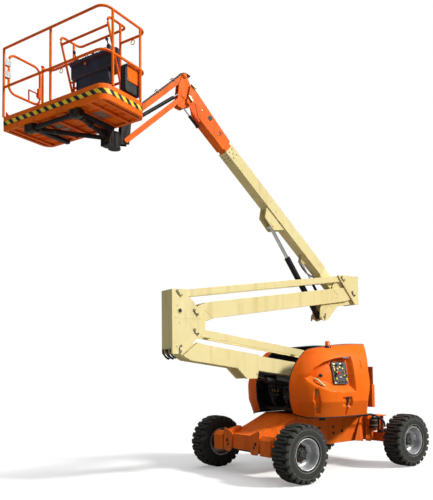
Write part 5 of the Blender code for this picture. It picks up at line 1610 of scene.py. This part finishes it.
shape = bmesh.new()
for y, lift in ((-0.024, 0.0), (0.0, 0.004), (0.024, 0.0)):
    jib_hose(shape, y, lift, 0.012)
finished("jib_hoses", shape, hose_rubber, "jib_arm")
shape = bmesh.new()
jib_hose(shape, -0.012, 0.020, 0.008)
finished("jib_pale_hose", shape, white_vinyl, "jib_arm")
shape = bmesh.new()
for s in (0.20, 0.55, 0.90):
    tube(shape, rounded_route([jib_at(s, 0.028, -0.038), jib_at(s, 0.078, -0.038), jib_at(s, 0.078, 0.038),
                               jib_at(s, 0.028, 0.038)], 0.015, 4), 0.005, 8)
finished("jib_hose_clips", shape, galvanised, "jib_arm")
shape = bmesh.new()
for out in (-1, 1):
    spun(shape, [(-0.004, 0.034), (0.004, 0.034), (0.010, 0.024), (0.012, 0.010)],
         jib_at(0.0, 0.0, out * 0.056), (0, out, 0), 24)
    spun(shape, [(-0.004, 0.030), (0.004, 0.030), (0.010, 0.020), (0.012, 0.008)],
         (-2.463, out * 0.066, 5.568), (0, out, 0), 24)
finished("jib_pin_caps", shape, orange_enamel, "head_bracket")
print("jib trim done, pieces:", len(made_pieces))

# %% [markdown]
# ## Track chain
# The hoses for the telescope lie in a chain of plastic links beside the boom. The chain repeats one link, so
# it is grown on a cloud of points with the same tree as the tread plate.

# %% Track chain beside the boom
chain_places = [(boom_at(2.18 + 0.040 * k, 0.094, 0.130), BOOM_RUN) for k in range(20)]
strewn("track_chain", chain_places, "main_boom", 0.034, 0.056, 0.016, black_plastic)
shape = bmesh.new()
for k in range(3):
    y = 0.108 + 0.022 * k
    tube(shape, smooth_route([boom_at(2.98, 0.050, y), boom_at(3.05, 0.048, y),
                              boom_at(3.11, 0.030, y - 0.01), boom_at(3.16, 0.035, y - 0.020)], 6), 0.009,
         10)
finished("track_hoses", shape, hose_rubber, "main_boom")
print("chain links:", len(chain_places))

# %% [markdown]
# ## Clamps of the platform's support
# The support's two arms end in split clamps round a cross tube, and its turning boss sits below. All are
# turned shapes in greasy dark iron, with the clamps' bolts facing out.

# %% Clamps on the platform's support
shape = bmesh.new()
for a in (0.47, 1.30):
    foot = platform_at(a, 0.075, -0.095)
    spun(shape, [(-0.085, 0.030), (-0.080, 0.052), (-0.030, 0.056), (0.030, 0.056), (0.080, 0.052),
                 (0.085, 0.030)], foot, ALONG, 24)
    spun(shape, [(-0.058, 0.020), (-0.050, 0.040), (-0.040, 0.044), (0.0, 0.044)], foot, UPWARD, 20)
    away = (platform_at(1.172, 0.73, -0.16) - foot).normalized()
    for reach in (0.12, 0.30):
        spun(shape, [(-0.020, 0.0305), (-0.018, 0.037), (0.018, 0.037), (0.020, 0.0305)],
             foot + away * reach, away, 20)
spun(shape, [(-0.030, 0.050), (-0.024, 0.078), (0.018, 0.082), (0.050, 0.078), (0.056, 0.050)],
     platform_at(1.172, 0.73, -0.20), UPWARD, 28)
finished("support_clamps", shape, greased_iron, "platform", 0.003)
bolts("support_bolts", [(platform_at(a + da, 0.02, z), -DEEP) for a in (0.47, 1.30)
                        for da in (-0.05, 0.05) for z in (-0.075, -0.115)], "platform",
      0.020, 0.010, 0.028, olive_zinc)
print("support done, pieces:", len(made_pieces))

# %% [markdown]
# ## Studio
# A pale floor and an even white surround, with one broad lamp from the right so that the sides that face
# the viewer are lit and the front ends fall into shade. The floor whitens with distance, so that no
# horizon shows.

# %% Floor and light
floor_shape = bmesh.new()
deck(floor_shape, [(-60, -60), (60, -60), (60, 60), (-60, 60)], -0.02, 0.0)
floor_mesh = mesh_of(floor_shape, "studio_floor")
studio_floor = new_object("studio_floor", floor_mesh)
pale_floor, tree, shader, place = new_finish("pale_studio_floor")
shader.inputs["Base Color"].default_value = hex_colour("#FAFAFA")
shader.inputs["Roughness"].default_value = 0.9
white = add(tree, "ShaderNodeEmission", {"Color": (1, 1, 1, 1), "Strength": 1.0})
grey = add(tree, "ShaderNodeBsdfDiffuse", {"Color": hex_colour("#9C9A97")})
away = add(tree, "ShaderNodeVectorMath", {0: place}, operation="LENGTH").outputs["Value"]
far_off = ramp(tree, away, 2.4, 5.0, 0.30, 1.0)
blended = add(tree, "ShaderNodeMixShader", {0: far_off, 1: shader.outputs[0], 2: white.outputs[0]})
looked_at = add(tree, "ShaderNodeLightPath")
chosen = add(tree, "ShaderNodeMixShader", {0: looked_at.outputs["Is Camera Ray"], 1: grey.outputs[0],
                                           2: blended.outputs[0]})
tree.links.new(chosen.outputs[0], tree.nodes["Material Output"].inputs["Surface"])
floor_mesh.materials.append(pale_floor)

world = bpy.data.worlds.new("studio")
bpy.context.scene.world = world
world.use_nodes = True
tree = world.node_tree
tree.nodes.clear()
rays = add(tree, "ShaderNodeLightPath")
shown = add(tree, "ShaderNodeMath", {0: rays.outputs["Is Camera Ray"],
                                     1: rays.outputs["Is Transmission Ray"]}, operation="MAXIMUM")
fill = add(tree, "ShaderNodeBackground", {"Color": (0.93, 0.96, 1.0, 1), "Strength": 0.16})
bright = add(tree, "ShaderNodeBackground", {"Color": (1, 1, 1, 1), "Strength": 1.0})
picked = add(tree, "ShaderNodeMixShader", {0: shown.outputs[0], 1: fill.outputs[0], 2: bright.outputs[0]})
add(tree, "ShaderNodeOutputWorld", {0: picked.outputs[0]})


def lamp(name, energy, width, colour, toward):
    """A lamp as far off as the sun, given its apparent width in degrees and the direction that it lies in."""
    made = new_object(name, bpy.data.lights.new(name, "SUN"))
    made.data.energy, made.data.angle = energy, math.radians(width)
    made.data.color = colour
    made.rotation_euler = Vector(toward).to_track_quat("Z", "Y").to_euler()


lamp("broad_lamp", 4.3, 9, (1.0, 0.97, 0.92), (0.46, -0.64, 0.62))
# the sky overhead: very broad, so it brightens the tops and leaves a soft shade under the machine
lamp("overhead_lamp", 1.7, 80, (0.97, 0.98, 1.0), (-0.05, -0.15, 1.0))
bpy.context.scene.view_settings.view_transform = "Standard"
print("studio done, pieces on the machine:", len(made_pieces))
